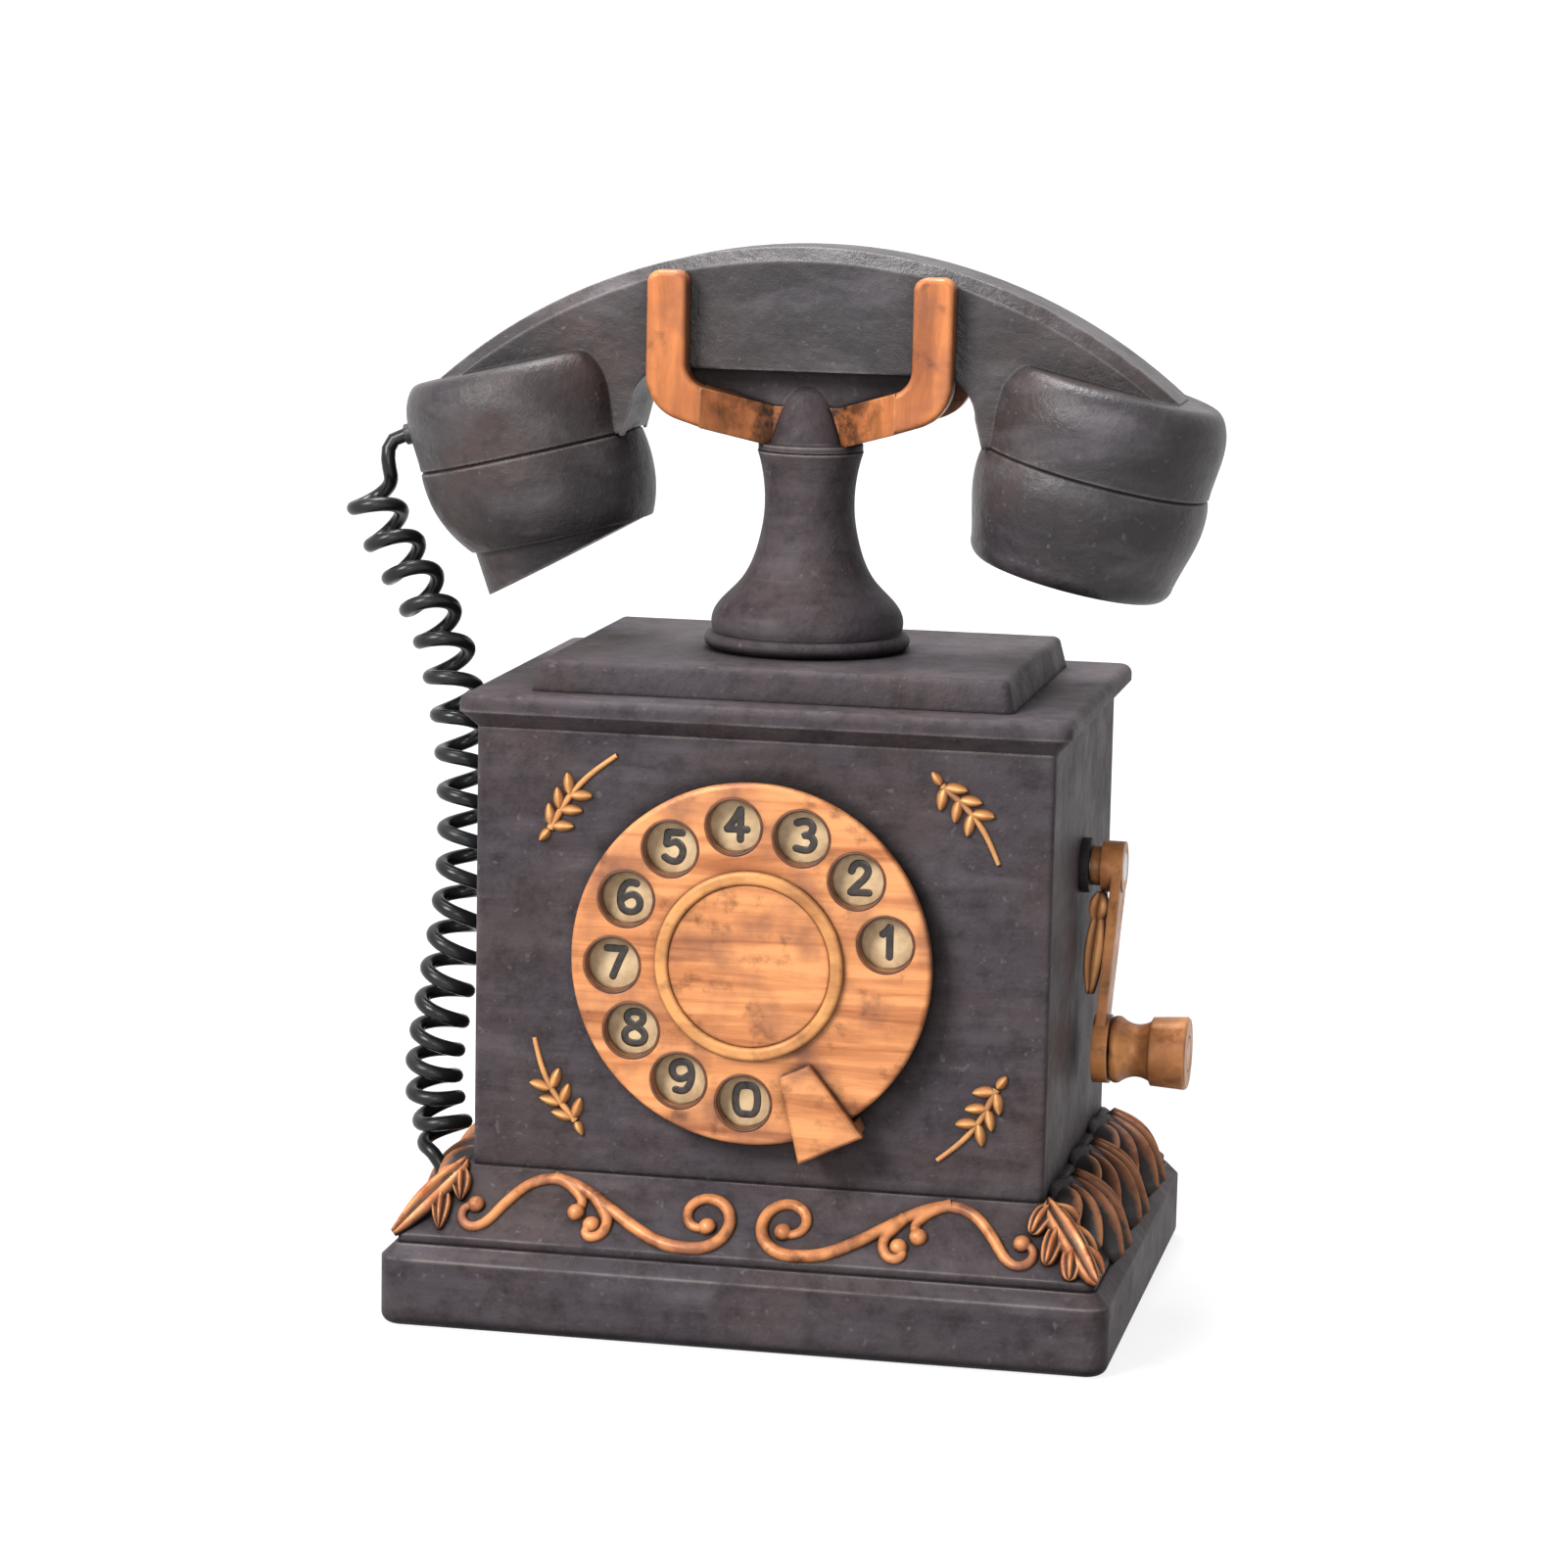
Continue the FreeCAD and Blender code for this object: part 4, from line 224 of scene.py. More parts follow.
def black_paint(name, tone, rubbed, streaks, rubbed_share, roughness, gloss):
    """Charcoal finish with dry brush strokes, rubbed edges with a painted highlight, rusty clouds, and
    creases darkened by dirt and painted shade.
    """
    material, tree, shader = new_finish(name)
    wear_light = wear_light_masks(tree, edge_radius=0.0013, crease_reach=0.007, mottle_scale=55.0)
    streak = place_group(tree, streak_group, streaks)["Streak"]
    place = object_place(tree)
    cloud = noise(tree, place, scale=24.0, detail=3.0)
    grain = noise(tree, place, scale=170.0, detail=5.0, roughness=0.7)
    speck = noise(tree, place, scale=420.0, detail=2.0)
    brushed = product(tree, streak, ranged(tree, wear_light["Mottle"], 0.35, 0.7, end=rubbed_share))
    colour = blended(tree, ranged(tree, cloud, 0.45, 0.7, end=0.5), tone, charcoal_rust)
    colour = blended(tree, ranged(tree, grain, 0.45, 0.68, end=0.75), colour, charcoal_dark)
    colour = blended(tree, brushed, colour, rubbed)
    colour = blended(tree, ranged(tree, speck, 0.66, 0.78, end=0.6), colour, rubbed)
    # Painted shade with dirt in the creases.
    colour = blended(tree, wear_light["Crease"], colour, charcoal_crease_dirt_and_shade)
    # Painted highlight with rubbed wear on the edges.
    colour = blended(tree, product(tree, wear_light["Edge"], charcoal_edge_wear_and_highlight_share), colour, charcoal_edge_wear_and_highlight)
    tree.links.new(colour, shader.inputs["Base Color"])
    rough_by(tree, shader, wear_light["Mottle"], roughness - 0.08, roughness + 0.12)
    shader.inputs["Specular IOR Level"].default_value = gloss
    raised_by(tree, shader, grain, wear_light["Normal"], strength=0.6, depth=0.001)
    return material


def dress(material, *names):
    """Give CAD nodes their finish."""
    for name in names:
        mesh = frame["nodes"][name].data
        mesh.materials.clear()
        mesh.materials.append(material)


charcoal = black_paint("charcoal_paint", charcoal_tone, charcoal_rubbed,
                       stroke_values(16.0, 16.0, 130.0, 0.42, 0.7), rubbed_share=0.7, roughness=0.56,
                       gloss=0.14)
dress(charcoal, "base_plinth", "base_coving")


# Case, cap plate and cap step
# A square wooden case with a moulded cap in two steps, painted like the base.
# The cap's tongue drops into the case, and the pillar's nut clamps the step on top of it.

dress(charcoal, "case", "cap_plate", "cap_step")


# Pillar and cradle boss
# A turned iron column with a flared foot, painted like the case.
# The boss with its saddle sits on the hook rod and rises with it, just above the column.

dress(charcoal, "pillar", "cradle_boss")


# Cradle fork
# Cast copper arms that bend up into four prongs beside the handset's grip.
# Hands have rubbed the prongs bright, with a painted highlight on their edges; dark patina with painted shade
# fills the corners, and dark blotches gather beside the boss.

copper_bright = (0.76, 0.262, 0.088, 1)
copper_dull = (0.3, 0.088, 0.032, 1)
copper_dark = (0.018, 0.009, 0.006, 1)
# Bright edge colour: rubbed wear with a painted highlight.
copper_edge_wear_and_highlight = (0.92, 0.52, 0.26, 1)
copper_plum = (0.2, 0.08, 0.062, 1)
copper_stroke_share = 0.8
copper_edge_wear_and_highlight_share = 0.8
copper_metal = 0.1
copper_gloss = 0.3
blotch_full = 0.011
blotch_end = 0.029


def copper(name, bright, dull, streaks, crease_reach=0.006, edge_radius=0.001, patina=0.7, edge=copper_edge_wear_and_highlight):
    """Rubbed copper with darker brush strokes, edges in the edge colour as wear with painted light, and
    nearly black patina with painted shade in its recesses.
    """
    material, tree, shader = new_finish(name)
    wear_light = wear_light_masks(tree, edge_radius, crease_reach, mottle_scale=130.0)
    streak = place_group(tree, streak_group, streaks)["Streak"]
    cloud = noise(tree, object_place(tree), scale=60.0, detail=4.0)
    colour = blended(tree, product(tree, streak, copper_stroke_share), bright, dull)
    colour = blended(tree, ranged(tree, cloud, 0.49, 0.72, end=patina), colour, copper_plum)
    colour = blended(tree, ranged(tree, wear_light["Mottle"], 0.58, 0.78, end=patina), colour, copper_dark)
    # Painted shade over the patina in the recesses, then the edge colour: wear with painted light.
    colour = blended(tree, wear_light["Crease"], colour, copper_dark)
    colour = blended(tree, product(tree, wear_light["Edge"], copper_edge_wear_and_highlight_share), colour, edge)
    tree.links.new(colour, shader.inputs["Base Color"])
    rough_by(tree, shader, wear_light["Mottle"], smoothest=0.28, roughest=0.5)
    shader.inputs["Metallic"].default_value = copper_metal
    shader.inputs["Specular IOR Level"].default_value = copper_gloss
    raised_by(tree, shader, wear_light["Mottle"], wear_light["Normal"], strength=0.4, depth=0.0006)
    return material


def darken_near_boss(material):
    """Dark blotches on the fork's arms, denser towards the boss."""
    tree = material.node_tree
    shade = tree.nodes["Principled BSDF"].inputs["Base Color"]
    place = object_place(tree)
    aside = put(tree, "ShaderNodeSeparateXYZ", {0: place}).outputs["X"]
    from_boss = put(tree, "ShaderNodeMath", {0: aside}, operation="ABSOLUTE").outputs[0]
    blotch = noise(tree, place, scale=150.0, detail=6.0, roughness=0.65)
    near_boss_blotches = product(tree, ranged(tree, from_boss, blotch_end, blotch_full),
                      ranged(tree, blotch, 0.4, 0.56, start=0.15, end=0.95))
    tree.links.new(blended(tree, near_boss_blotches, shade.links[0].from_socket, copper_dark), shade)


fork_copper = copper("fork_copper", copper_bright, copper_dull, stroke_values(120.0, 120.0, 22.0, 0.4, 0.7),
                     crease_reach=0.014)
darken_near_boss(fork_copper)
dress(fork_copper, "cradle_fork")


# Handset
# A black moulded grip with two cups, dry-brushed grey where it is rubbed; the mouthpiece is painted darker as
# painted shade.
# Both caps are screwed into the cups, and the cord's gland sits in the left one.
# The base's gland and its grommet for a line are moulded in the same black.

handset_tone = (0.034, 0.029, 0.033, 1)
handset_rubbed = (0.17, 0.155, 0.166, 1)
# Darker black for the mouthpiece cap alone: painted shade.
mouth_shade_tone = (0.024, 0.02, 0.023, 1)
mouth_shade_rubbed = (0.125, 0.113, 0.121, 1)
handset_strokes = stroke_values(22.0, 40.0, 90.0, 0.46, 0.72)

handset_black = black_paint("handset_black", handset_tone, handset_rubbed, handset_strokes, rubbed_share=0.85,
                            roughness=0.4, gloss=0.35)
mouth_painted_shade_black = black_paint("mouth_painted_shade_black", mouth_shade_tone, mouth_shade_rubbed, handset_strokes, rubbed_share=0.8,
                          roughness=0.42, gloss=0.3)
dress(handset_black, "handset_body", "earpiece_cap", "handset_gland", "cord_gland", "line_grommet")
dress(mouth_painted_shade_black, "mouthpiece_cap")


# Handset cord
# A glossy black wire wound into a curl, hanging from the left cup to the left end of the base.
# It bends down from the handset's gland into its first turn, and its turns close up towards the base.

wire_diameter = 0.004
curl_radius = 0.0062
pitch_top = 0.0098
pitch_middle = 0.0104
pitch_bottom = 0.006
straight_tail = 0.003
curl_ramp = 0.01
end_turn = 0.75
points_per_turn = 16
curl_sum_steps = 4000
axis_resolution = 32
wire_resolution = 2
round_steps = 4
cord_tone = (0.011, 0.011, 0.0125, 1)
cord_handled = (0.03, 0.03, 0.034, 1)
cord_gloss = 0.3
cord_exit = Vector((-0.113628, 0.0, 0.230759))
exit_bend = Vector((-0.0047, 0.0, -0.0011))
cord_foot = Vector((-0.0908, -0.04, 0.032))
last_rise = 0.01
curl_axis = [
    (-0.1243, -0.0025, 0.222),
    (-0.1215, -0.006, 0.2125),
    (-0.1145, -0.0085, 0.2015),
    (-0.1075, -0.012, 0.192),
    (-0.1015, -0.0155, 0.184),
    (-0.0968, -0.0185, 0.175),
    (-0.0932, -0.0215, 0.164),
    (-0.0902, -0.0245, 0.152),
    (-0.0882, -0.0275, 0.138),
    (-0.0872, -0.03, 0.122),
    (-0.0883, -0.032, 0.104),
    (-0.0918, -0.033, 0.084),
    (-0.0952, -0.0335, 0.062),
    (-0.0946, -0.0338, 0.052),
    (cord_foot.x, cord_foot.y + curl_radius, cord_foot.z + last_rise),
    (cord_foot.x, cord_foot.y + curl_radius, cord_foot.z),
]


def link(obj):
    """Put a new object in the scene."""
    bpy.context.scene.collection.objects.link(obj)
    return obj


def settled_mesh(obj):
    """Plain mesh of an object as it stands, with its modifiers and bevels."""
    bpy.context.view_layer.update()
    graph = bpy.context.evaluated_depsgraph_get()
    return bpy.data.meshes.new_from_object(obj.evaluated_get(graph))


def smooth_line(points, name, resolution):
    """Curve object with one NURBS spline that has the points as its control points."""
    curve = bpy.data.curves.new(name, "CURVE")
    curve.dimensions = "3D"
    curve.resolution_u = resolution
    spline = curve.splines.new("NURBS")
    spline.points.add(len(points) - 1)
    for spot, point in zip(spline.points, points):
        spot.co = (*point, 1)
    spline.order_u = 3
    spline.use_endpoint_u = True
    return link(bpy.data.objects.new(name, curve))


def drop(obj):
    """Remove a helper object."""
    bpy.data.objects.remove(obj)


axis_object = smooth_line(curl_axis, "curl_axis", axis_resolution)
axis_line = [vertex.co.copy() for vertex in settled_mesh(axis_object).vertices]
drop(axis_object)
axis_marks = [0.0]
for before, after in zip(axis_line, axis_line[1:]):
    axis_marks.append(axis_marks[-1] + (after - before).length)
axis_length = axis_marks[-1]
coil_end = axis_length - straight_tail


def axis_at(along):
    """Point of the curl's axis at a distance from its upper end, and the heading there."""
    index = 1
    while index < len(axis_marks) - 1 and axis_marks[index] < along:
        index += 1
    before, after = axis_line[index - 1], axis_line[index]
    share = (along - axis_marks[index - 1]) / (axis_marks[index] - axis_marks[index - 1])
    return before.lerp(after, share), (after - before).normalized()


def eased(share):
    """Smooth rise from 0 to 1."""
    share = max(0.0, min(1.0, share))
    return share * share * (3 - 2 * share)


def turn_rate(along):
    """Angle that the wire turns per metre of the axis, less at both ends."""
    share = along / coil_end
    pitch = (pitch_top * (1 - share) * (1 - 2 * share) + pitch_middle * 4 * share * (1 - share)
             + pitch_bottom * share * (2 * share - 1))
    ramp = eased(along / curl_ramp) * eased((coil_end - along) / curl_ramp)
    return 2 * math.pi / pitch * ramp


def curled_wire():
    """Points of the wire: its bend out of the handset, and its helix about the axis."""
    step = coil_end / curl_sum_steps
    rates = [turn_rate(step * (index + 0.5)) for index in range(curl_sum_steps)]
    turns = sum(rates) * step / (2 * math.pi)
    whole = (round(turns - end_turn) + end_turn) / turns
    stations = [(0.0, 0.0)]
    phase = 0.0
    spacing = 2 * math.pi / points_per_turn
    wanted = spacing
    for index, rate in enumerate(rates):
        phase += rate * whole * step
        if phase >= wanted:
            stations.append((step * (index + 1), phase))
            wanted += spacing
    stations += [(coil_end, phase), (axis_length, phase)]
    points = [cord_exit, cord_exit + exit_bend]
    for along, phase in stations:
        spot, heading = axis_at(along)
        across = Vector((0, 1, 0))
        across = (across - heading * across.dot(heading)).normalized()
        aside = heading.cross(across)
        points.append(spot + (aside * math.cos(phase) + across * math.sin(phase)) * curl_radius)
    return points


def piece(name, mesh, material, smooth=True):
    """Object from a mesh, with its finish."""
    mesh.materials.clear()
    mesh.materials.append(material)
    mesh.polygons.foreach_set("use_smooth", [smooth] * len(mesh.polygons))
    return link(bpy.data.objects.new(name, mesh))


def cord_finish():
    """Glossy black sheath, a little duller where it is handled."""
    material, tree, shader = new_finish("cord_sheath")
    handled = noise(tree, object_place(tree), scale=90.0, detail=4.0)
    tree.links.new(blended(tree, ranged(tree, handled, 0.5, 0.8, end=0.5), cord_tone, cord_handled),
                   shader.inputs["Base Color"])
    rough_by(tree, shader, handled, smoothest=0.22, roughest=0.36)
    shader.inputs["Specular IOR Level"].default_value = cord_gloss
    return material


wire = smooth_line(curled_wire(), "cord_wire", wire_resolution)
cord_path = [vertex.co.copy() for vertex in settled_mesh(wire).vertices]
wire.data.bevel_depth = wire_diameter / 2
wire.data.bevel_resolution = round_steps
wire.data.use_fill_caps = True
curly_cord = piece("curly_cord", settled_mesh(wire), cord_finish())
drop(wire)
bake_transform(curly_cord)
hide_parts("handset_cord")


# Dial
# A copper finger wheel with ten holes rimmed in dark patina with painted shade, turning in front of a fixed
# plate with enamelled spots.
# A raised ring holds a plain card on the wheel, and a wedge on the case stops the finger.

dial_centre = Vector((-0.0008, 0.0, 0.101))
finger_circle = 0.037
first_hole = 12.0
hole_pitch = 28.5
digit_height = 0.0078
digit_half = 0.00102
digit_proud = 0.0002
digit_strokes = [
    [[(-0.2, 0.26), (-0.02, 0.4), (0.04, 0.52), (0.04, 0.5), (0.04, 0.0), (0.04, -0.5)]],
    [[(-0.28, 0.26), (-0.22, 0.5), (0.1, 0.56), (0.32, 0.32), (0.2, 0.04), (-0.06, -0.2), (-0.3, -0.46),
      (-0.3, -0.47), (0.0, -0.46), (0.32, -0.46)]],
    [[(-0.26, 0.44), (0.04, 0.56), (0.32, 0.34), (0.2, 0.06), (-0.08, 0.03), (0.24, 0.02), (0.36, -0.26),
      (0.1, -0.54), (-0.28, -0.42)]],
    [[(0.1, 0.5), (-0.1, 0.14), (-0.34, -0.16), (-0.34, -0.17), (0.0, -0.16), (0.34, -0.16)],
     [(0.12, 0.5), (0.12, 0.1), (0.12, -0.5)]],
    [[(0.28, 0.47), (-0.2, 0.47), (-0.21, 0.46), (-0.25, 0.06), (-0.24, 0.06), (0.1, 0.2), (0.36, -0.08),
      (0.24, -0.48), (-0.1, -0.54), (-0.3, -0.38)]],
    [[(0.22, 0.44), (-0.08, 0.54), (-0.34, 0.12), (-0.32, -0.42), (0.0, -0.58), (0.36, -0.42), (0.34, -0.04),
      (0.02, 0.12), (-0.26, -0.1)]],
    [[(-0.3, 0.46), (0.1, 0.46), (0.31, 0.46), (0.31, 0.45), (0.1, 0.02), (-0.1, -0.5)]],
    [[(0.0, 0.05), (-0.3, 0.2), (-0.26, 0.5), (0.0, 0.56), (0.26, 0.5), (0.3, 0.2), (0.0, 0.04),
      (-0.36, -0.12), (-0.34, -0.48), (0.0, -0.58), (0.34, -0.48), (0.36, -0.12), (0.0, 0.05)]],
    [[(-0.22, -0.44), (0.08, -0.54), (0.34, -0.12), (0.32, 0.42), (0.0, 0.58), (-0.36, 0.42), (-0.34, 0.04),
      (-0.02, -0.12), (0.26, 0.1)]],
    [[(0.0, 0.5), (-0.24, 0.5), (-0.38, 0.26), (-0.38, -0.26), (-0.24, -0.5), (0.0, -0.5), (0.24, -0.5),
      (0.38, -0.26), (0.38, 0.26), (0.24, 0.5), (0.0, 0.5)]],
]
rim_radius = 0.00755
rim_half = 0.00042
rim_sunk = 0.0003
rim_points = 25
strand_resolution = 6
spot_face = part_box("number_plate")[0].y
wheel_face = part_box("finger_wheel")[0].y
dial_bright = (1.0, 0.42, 0.165, 1)
dial_dull = (0.36, 0.1, 0.034, 1)
# Dark edge colour of the dial's copper: patina with painted shade round the holes and the rim.
dial_edge_patina_and_shade = (0.17, 0.055, 0.022, 1)
ring_bright = (0.9, 0.42, 0.15, 1)
ring_dull = (0.4, 0.15, 0.045, 1)
spot_cream = (0.86, 0.64, 0.38, 1)
spot_brown = (0.6, 0.4, 0.19, 1)
# Brown painted shade at the spots' edges inside the finger holes.
spot_painted_shade = (0.12, 0.05, 0.02, 1)
spot_painted_shade_share = 0.5
digit_tone = (0.02, 0.016, 0.014, 1)
digit_worn = (0.06, 0.045, 0.035, 1)
# Colours of the dark rings in the finger holes: patina with painted shade.
rim_tone = (0.07, 0.024, 0.012, 1)
rim_worn = (0.2, 0.07, 0.028, 1)

dial_copper = copper("dial_copper", dial_bright, dial_dull, stroke_values(12.0, 12.0, 190.0, 0.42, 0.66),
                     crease_reach=0.007, patina=0.75, edge=dial_edge_patina_and_shade)
ring_copper = copper("ring_copper", ring_bright, ring_dull, stroke_values(50.0, 50.0, 120.0, 0.42, 0.72),
                     patina=0.6, edge=dial_edge_patina_and_shade)
dress(dial_copper, "finger_wheel", "dial_card", "finger_stop")
dress(ring_copper, "card_ring")


def plain_finish(name, tone, other, metallic, roughness, scale):
    """Simple mottled finish for enamel and for the works inside."""
    material, tree, shader = new_finish(name)
    mottle = noise(tree, object_place(tree), scale, detail=5.0)
    tree.links.new(blended(tree, ranged(tree, mottle, 0.35, 0.7), tone, other), shader.inputs["Base Color"])
    rough_by(tree, shader, mottle, roughness - 0.08, roughness + 0.1)
    shader.inputs["Metallic"].default_value = metallic
    return material


def spot_enamel():
    """Cream enamel of the number spots, with brown painted shade towards the edges of the finger holes."""
    material, tree, shader = new_finish("number_enamel")
    wear_light = wear_light_masks(tree, edge_radius=0.0004, crease_reach=0.006, mottle_scale=260.0)
    colour = blended(tree, ranged(tree, wear_light["Mottle"], 0.4, 0.7, end=0.7), spot_cream, spot_brown)
    colour = blended(tree, product(tree, wear_light["Crease"], spot_painted_shade_share), colour, spot_painted_shade)
    tree.links.new(colour, shader.inputs["Base Color"])
    rough_by(tree, shader, wear_light["Mottle"], smoothest=0.4, roughest=0.6)
    return material


digit_black = plain_finish("digit_black", digit_tone, digit_worn, metallic=0.0, roughness=0.3, scale=400.0)
rim_patina_and_shade = plain_finish("rim_patina_and_shade", rim_tone, rim_worn, metallic=0.0, roughness=0.5, scale=300.0)
dress(spot_enamel(), "number_plate")


def merged(meshes, name):
    """One mesh from several."""
    joined = bmesh.new()
    for mesh in meshes:
        joined.from_mesh(mesh)
    result = bpy.data.meshes.new(name)
    joined.to_mesh(result)
    joined.free()
    return result


def strand_mesh(points, halves):
    """Tapered round strand through points of a flat drawing, with both ends closed."""
    guide = smooth_line([(*point, 0.0) for point in points], "strand", strand_resolution)
    for spot, half in zip(guide.data.splines[0].points, halves):
        spot.radius = half
    guide.data.bevel_depth = 1.0
    guide.data.bevel_resolution = round_steps
    guide.data.use_fill_caps = True
    mesh = settled_mesh(guide)
    drop(guide)
    return mesh


def bud_mesh(point, radius):
    """Small round bud at the end of a strand."""
    shape = bmesh.new()
    bmesh.ops.create_icosphere(shape, subdivisions=3, radius=radius,
                               matrix=Matrix.Translation((*point, 0.0)))
    mesh = bpy.data.meshes.new("bud")
    shape.to_mesh(mesh)
    shape.free()
    return mesh


def digit_mesh(strokes, place):
    """Raised numeral of round strokes on a number spot, upright and facing the front."""
    shapes = []
    for stroke in strokes:
        drawn = [(x * digit_height, y * digit_height) for x, y in stroke]
        shapes.append(strand_mesh(drawn, [digit_half] * len(drawn)))
        shapes += [bud_mesh(drawn[0], digit_half), bud_mesh(drawn[-1], digit_half)]
    mesh = merged(shapes, "digit")
    flat = Matrix.Diagonal((1.0, 1.0, digit_proud / digit_half, 1.0))
    mesh.transform(Matrix.Translation(place) @ Matrix.Rotation(math.pi / 2, 4, "X") @ flat)
    return mesh


def rim_mesh(place):
    """Dark line of patina with painted shade round the edge of a finger hole."""
    turns = [2 * math.pi * index / (rim_points - 1) for index in range(rim_points)]
    mesh = strand_mesh([(rim_radius * math.cos(turn), rim_radius * math.sin(turn)) for turn in turns],
                       [rim_half] * rim_points)
    mesh.transform(Matrix.Translation(place) @ Matrix.Rotation(math.pi / 2, 4, "X"))
    return mesh


digits = []
rims = []
for index, strokes in enumerate(digit_strokes):
    angle = math.radians(first_hole + hole_pitch * index)
    spot = dial_centre + Vector((math.cos(angle), 0, math.sin(angle))) * finger_circle
    digits.append(digit_mesh(strokes, Vector((spot.x, spot_face, spot.z))))
    rims.append(rim_mesh(Vector((spot.x, wheel_face + rim_sunk, spot.z))))
dial_digits = piece("dial_digits", merged(digits, "dial_digits"), digit_black)
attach(dial_digits, "base")
finger_rims = piece("finger_rims", merged(rims, "finger_rims"), rim_patina_and_shade)
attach(finger_rims, "dial")


# Crank
# A cast copper arm on the magneto's shaft, with a turned knob that spins on its pin and a bush in the wall.
# A leaf is cast along the arm's inner side, and a bud above it; both are painted brighter than the arm, as
# painted light where the case shades them.

arm_leaf_length = 0.024
arm_leaf_width = 0.0075
arm_leaf_height = 0.0042
arm_leaf_drop = 0.011
arm_bud_length = 0.009
arm_bud_drop = 0.0065
arm_leaf_front = -0.003
arm_leaf_out = Vector((-0.85, -0.53, 0.0))
arm_lean = 0.004
arm_throw = 0.0505
arm_hub_radius = 0.007
leaf_bed = 0.12
leaf_end_half = 0.03
leaf_side_half = 0.47
leaf_lead = 0.8
leaf_end_height = 0.2
leaf_swell = 0.8
leaf_swell_start = 0.1
leaf_swell_span = 0.8
leaf_rim_place = 0.74
leaf_rim_spread = 0.16
leaf_rim_full = 0.3
crank_bright = (1.0, 0.42, 0.15, 1)
crank_dull = (0.3, 0.085, 0.03, 1)
# Brightened leaf colours: painted light on a leaf that the case shades.
arm_leaf_painted_light_bright = (1.0, 0.52, 0.22, 1)
arm_leaf_painted_light_dull = (0.9, 0.36, 0.13, 1)
arm_leaf_painted_light_hollow = (0.5, 0.19, 0.07, 1)
relief_metal = 0.2
relief_gloss = 0.35

crank_copper = copper("crank_copper", crank_bright, crank_dull, stroke_values(60.0, 120.0, 30.0, 0.42, 0.68),
                      patina=0.75)
dress(crank_copper, "crank_arm", "crank_pin", "crank_knob")
dress(charcoal, "crank_bush")


def leaf_blade(name, rows, columns, point, crest, dome, rib, rim):
    """Leaf of unit length along X, cupped between its rib and its rim, closed below."""
    shape = bmesh.new()
    rise = shape.verts.layers.float.new("rise")
    grid = []
    for row in range(rows + 1):
        along = row / rows
        half = leaf_end_half + leaf_side_half * math.sin(math.pi * along ** leaf_lead) ** point
        rounding = math.sin(math.pi * (leaf_swell_start + leaf_swell_span * along))
        swell = leaf_end_height + leaf_swell * rounding
        line = []
        for column in range(columns + 1):
            aside = 2 * column / columns - 1
            ridge = math.exp(-(aside / crest) ** 2)
            edge = math.exp(-((abs(aside) - leaf_rim_place) / leaf_rim_spread) ** 2)
            height = swell * (dome * (1 - aside * aside) + rib * ridge + rim * edge)
            vertex = shape.verts.new((along, half * aside, height))
            vertex[rise] = min(1.0, ridge + edge * rim / leaf_rim_full)
            line.append(vertex)
        grid.append(line)
    for near, far in zip(grid, grid[1:]):
        for column in range(columns):
            shape.faces.new((near[column], far[column], far[column + 1], near[column + 1]))
    border = [edge for edge in shape.edges if edge.is_boundary]
    skirt = bmesh.ops.extrude_edge_only(shape, edges=border)["geom"]
    for vertex in skirt:
        if isinstance(vertex, bmesh.types.BMVert):
            vertex.co.z = -leaf_bed
            vertex[rise] = 0.0
    bmesh.ops.holes_fill(shape, edges=[edge for edge in shape.edges if edge.is_boundary])
    bmesh.ops.recalc_face_normals(shape, faces=shape.faces)
    mesh = bpy.data.meshes.new(name)
    shape.to_mesh(mesh)
    shape.free()
    mesh.polygons.foreach_set("use_smooth", [True] * len(mesh.polygons))
    return link(bpy.data.objects.new(name, mesh))


def leaf_setter():
    """Geometry nodes that set a leaf on every point, turned and sized by the point's own values."""
    tree = bpy.data.node_groups.new("leaf_setter", "GeometryNodeTree")
    for name, kind in (("Points", "Geometry"), ("Leaf", "Object"), ("Finish", "Material")):
        tree.interface.new_socket(name, in_out="INPUT", socket_type="NodeSocket" + kind)
    tree.interface.new_socket("Leaves", in_out="OUTPUT", socket_type="NodeSocketGeometry")
    given = tree.nodes.new("NodeGroupInput").outputs
    result = tree.nodes.new("NodeGroupOutput").inputs
    turn = put(tree, "GeometryNodeInputNamedAttribute", {"Name": "turn"}, data_type="FLOAT_VECTOR")
    size = put(tree, "GeometryNodeInputNamedAttribute", {"Name": "size"}, data_type="FLOAT_VECTOR")
    facing = put(tree, "FunctionNodeEulerToRotation", {0: turn.outputs[0]})
    leaf = put(tree, "GeometryNodeObjectInfo", {"Object": given["Leaf"]})
    spread = put(tree, "GeometryNodeInstanceOnPoints",
                 {"Points": given["Points"], "Instance": leaf.outputs["Geometry"],
                  "Rotation": facing.outputs[0], "Scale": size.outputs[0]})
    real = put(tree, "GeometryNodeRealizeInstances", {"Geometry": spread.outputs[0]})
    dressed = put(tree, "GeometryNodeSetMaterial",
                  {"Geometry": real.outputs[0], "Material": given["Finish"]})
    tree.links.new(dressed.outputs[0], result["Leaves"])
    return tree


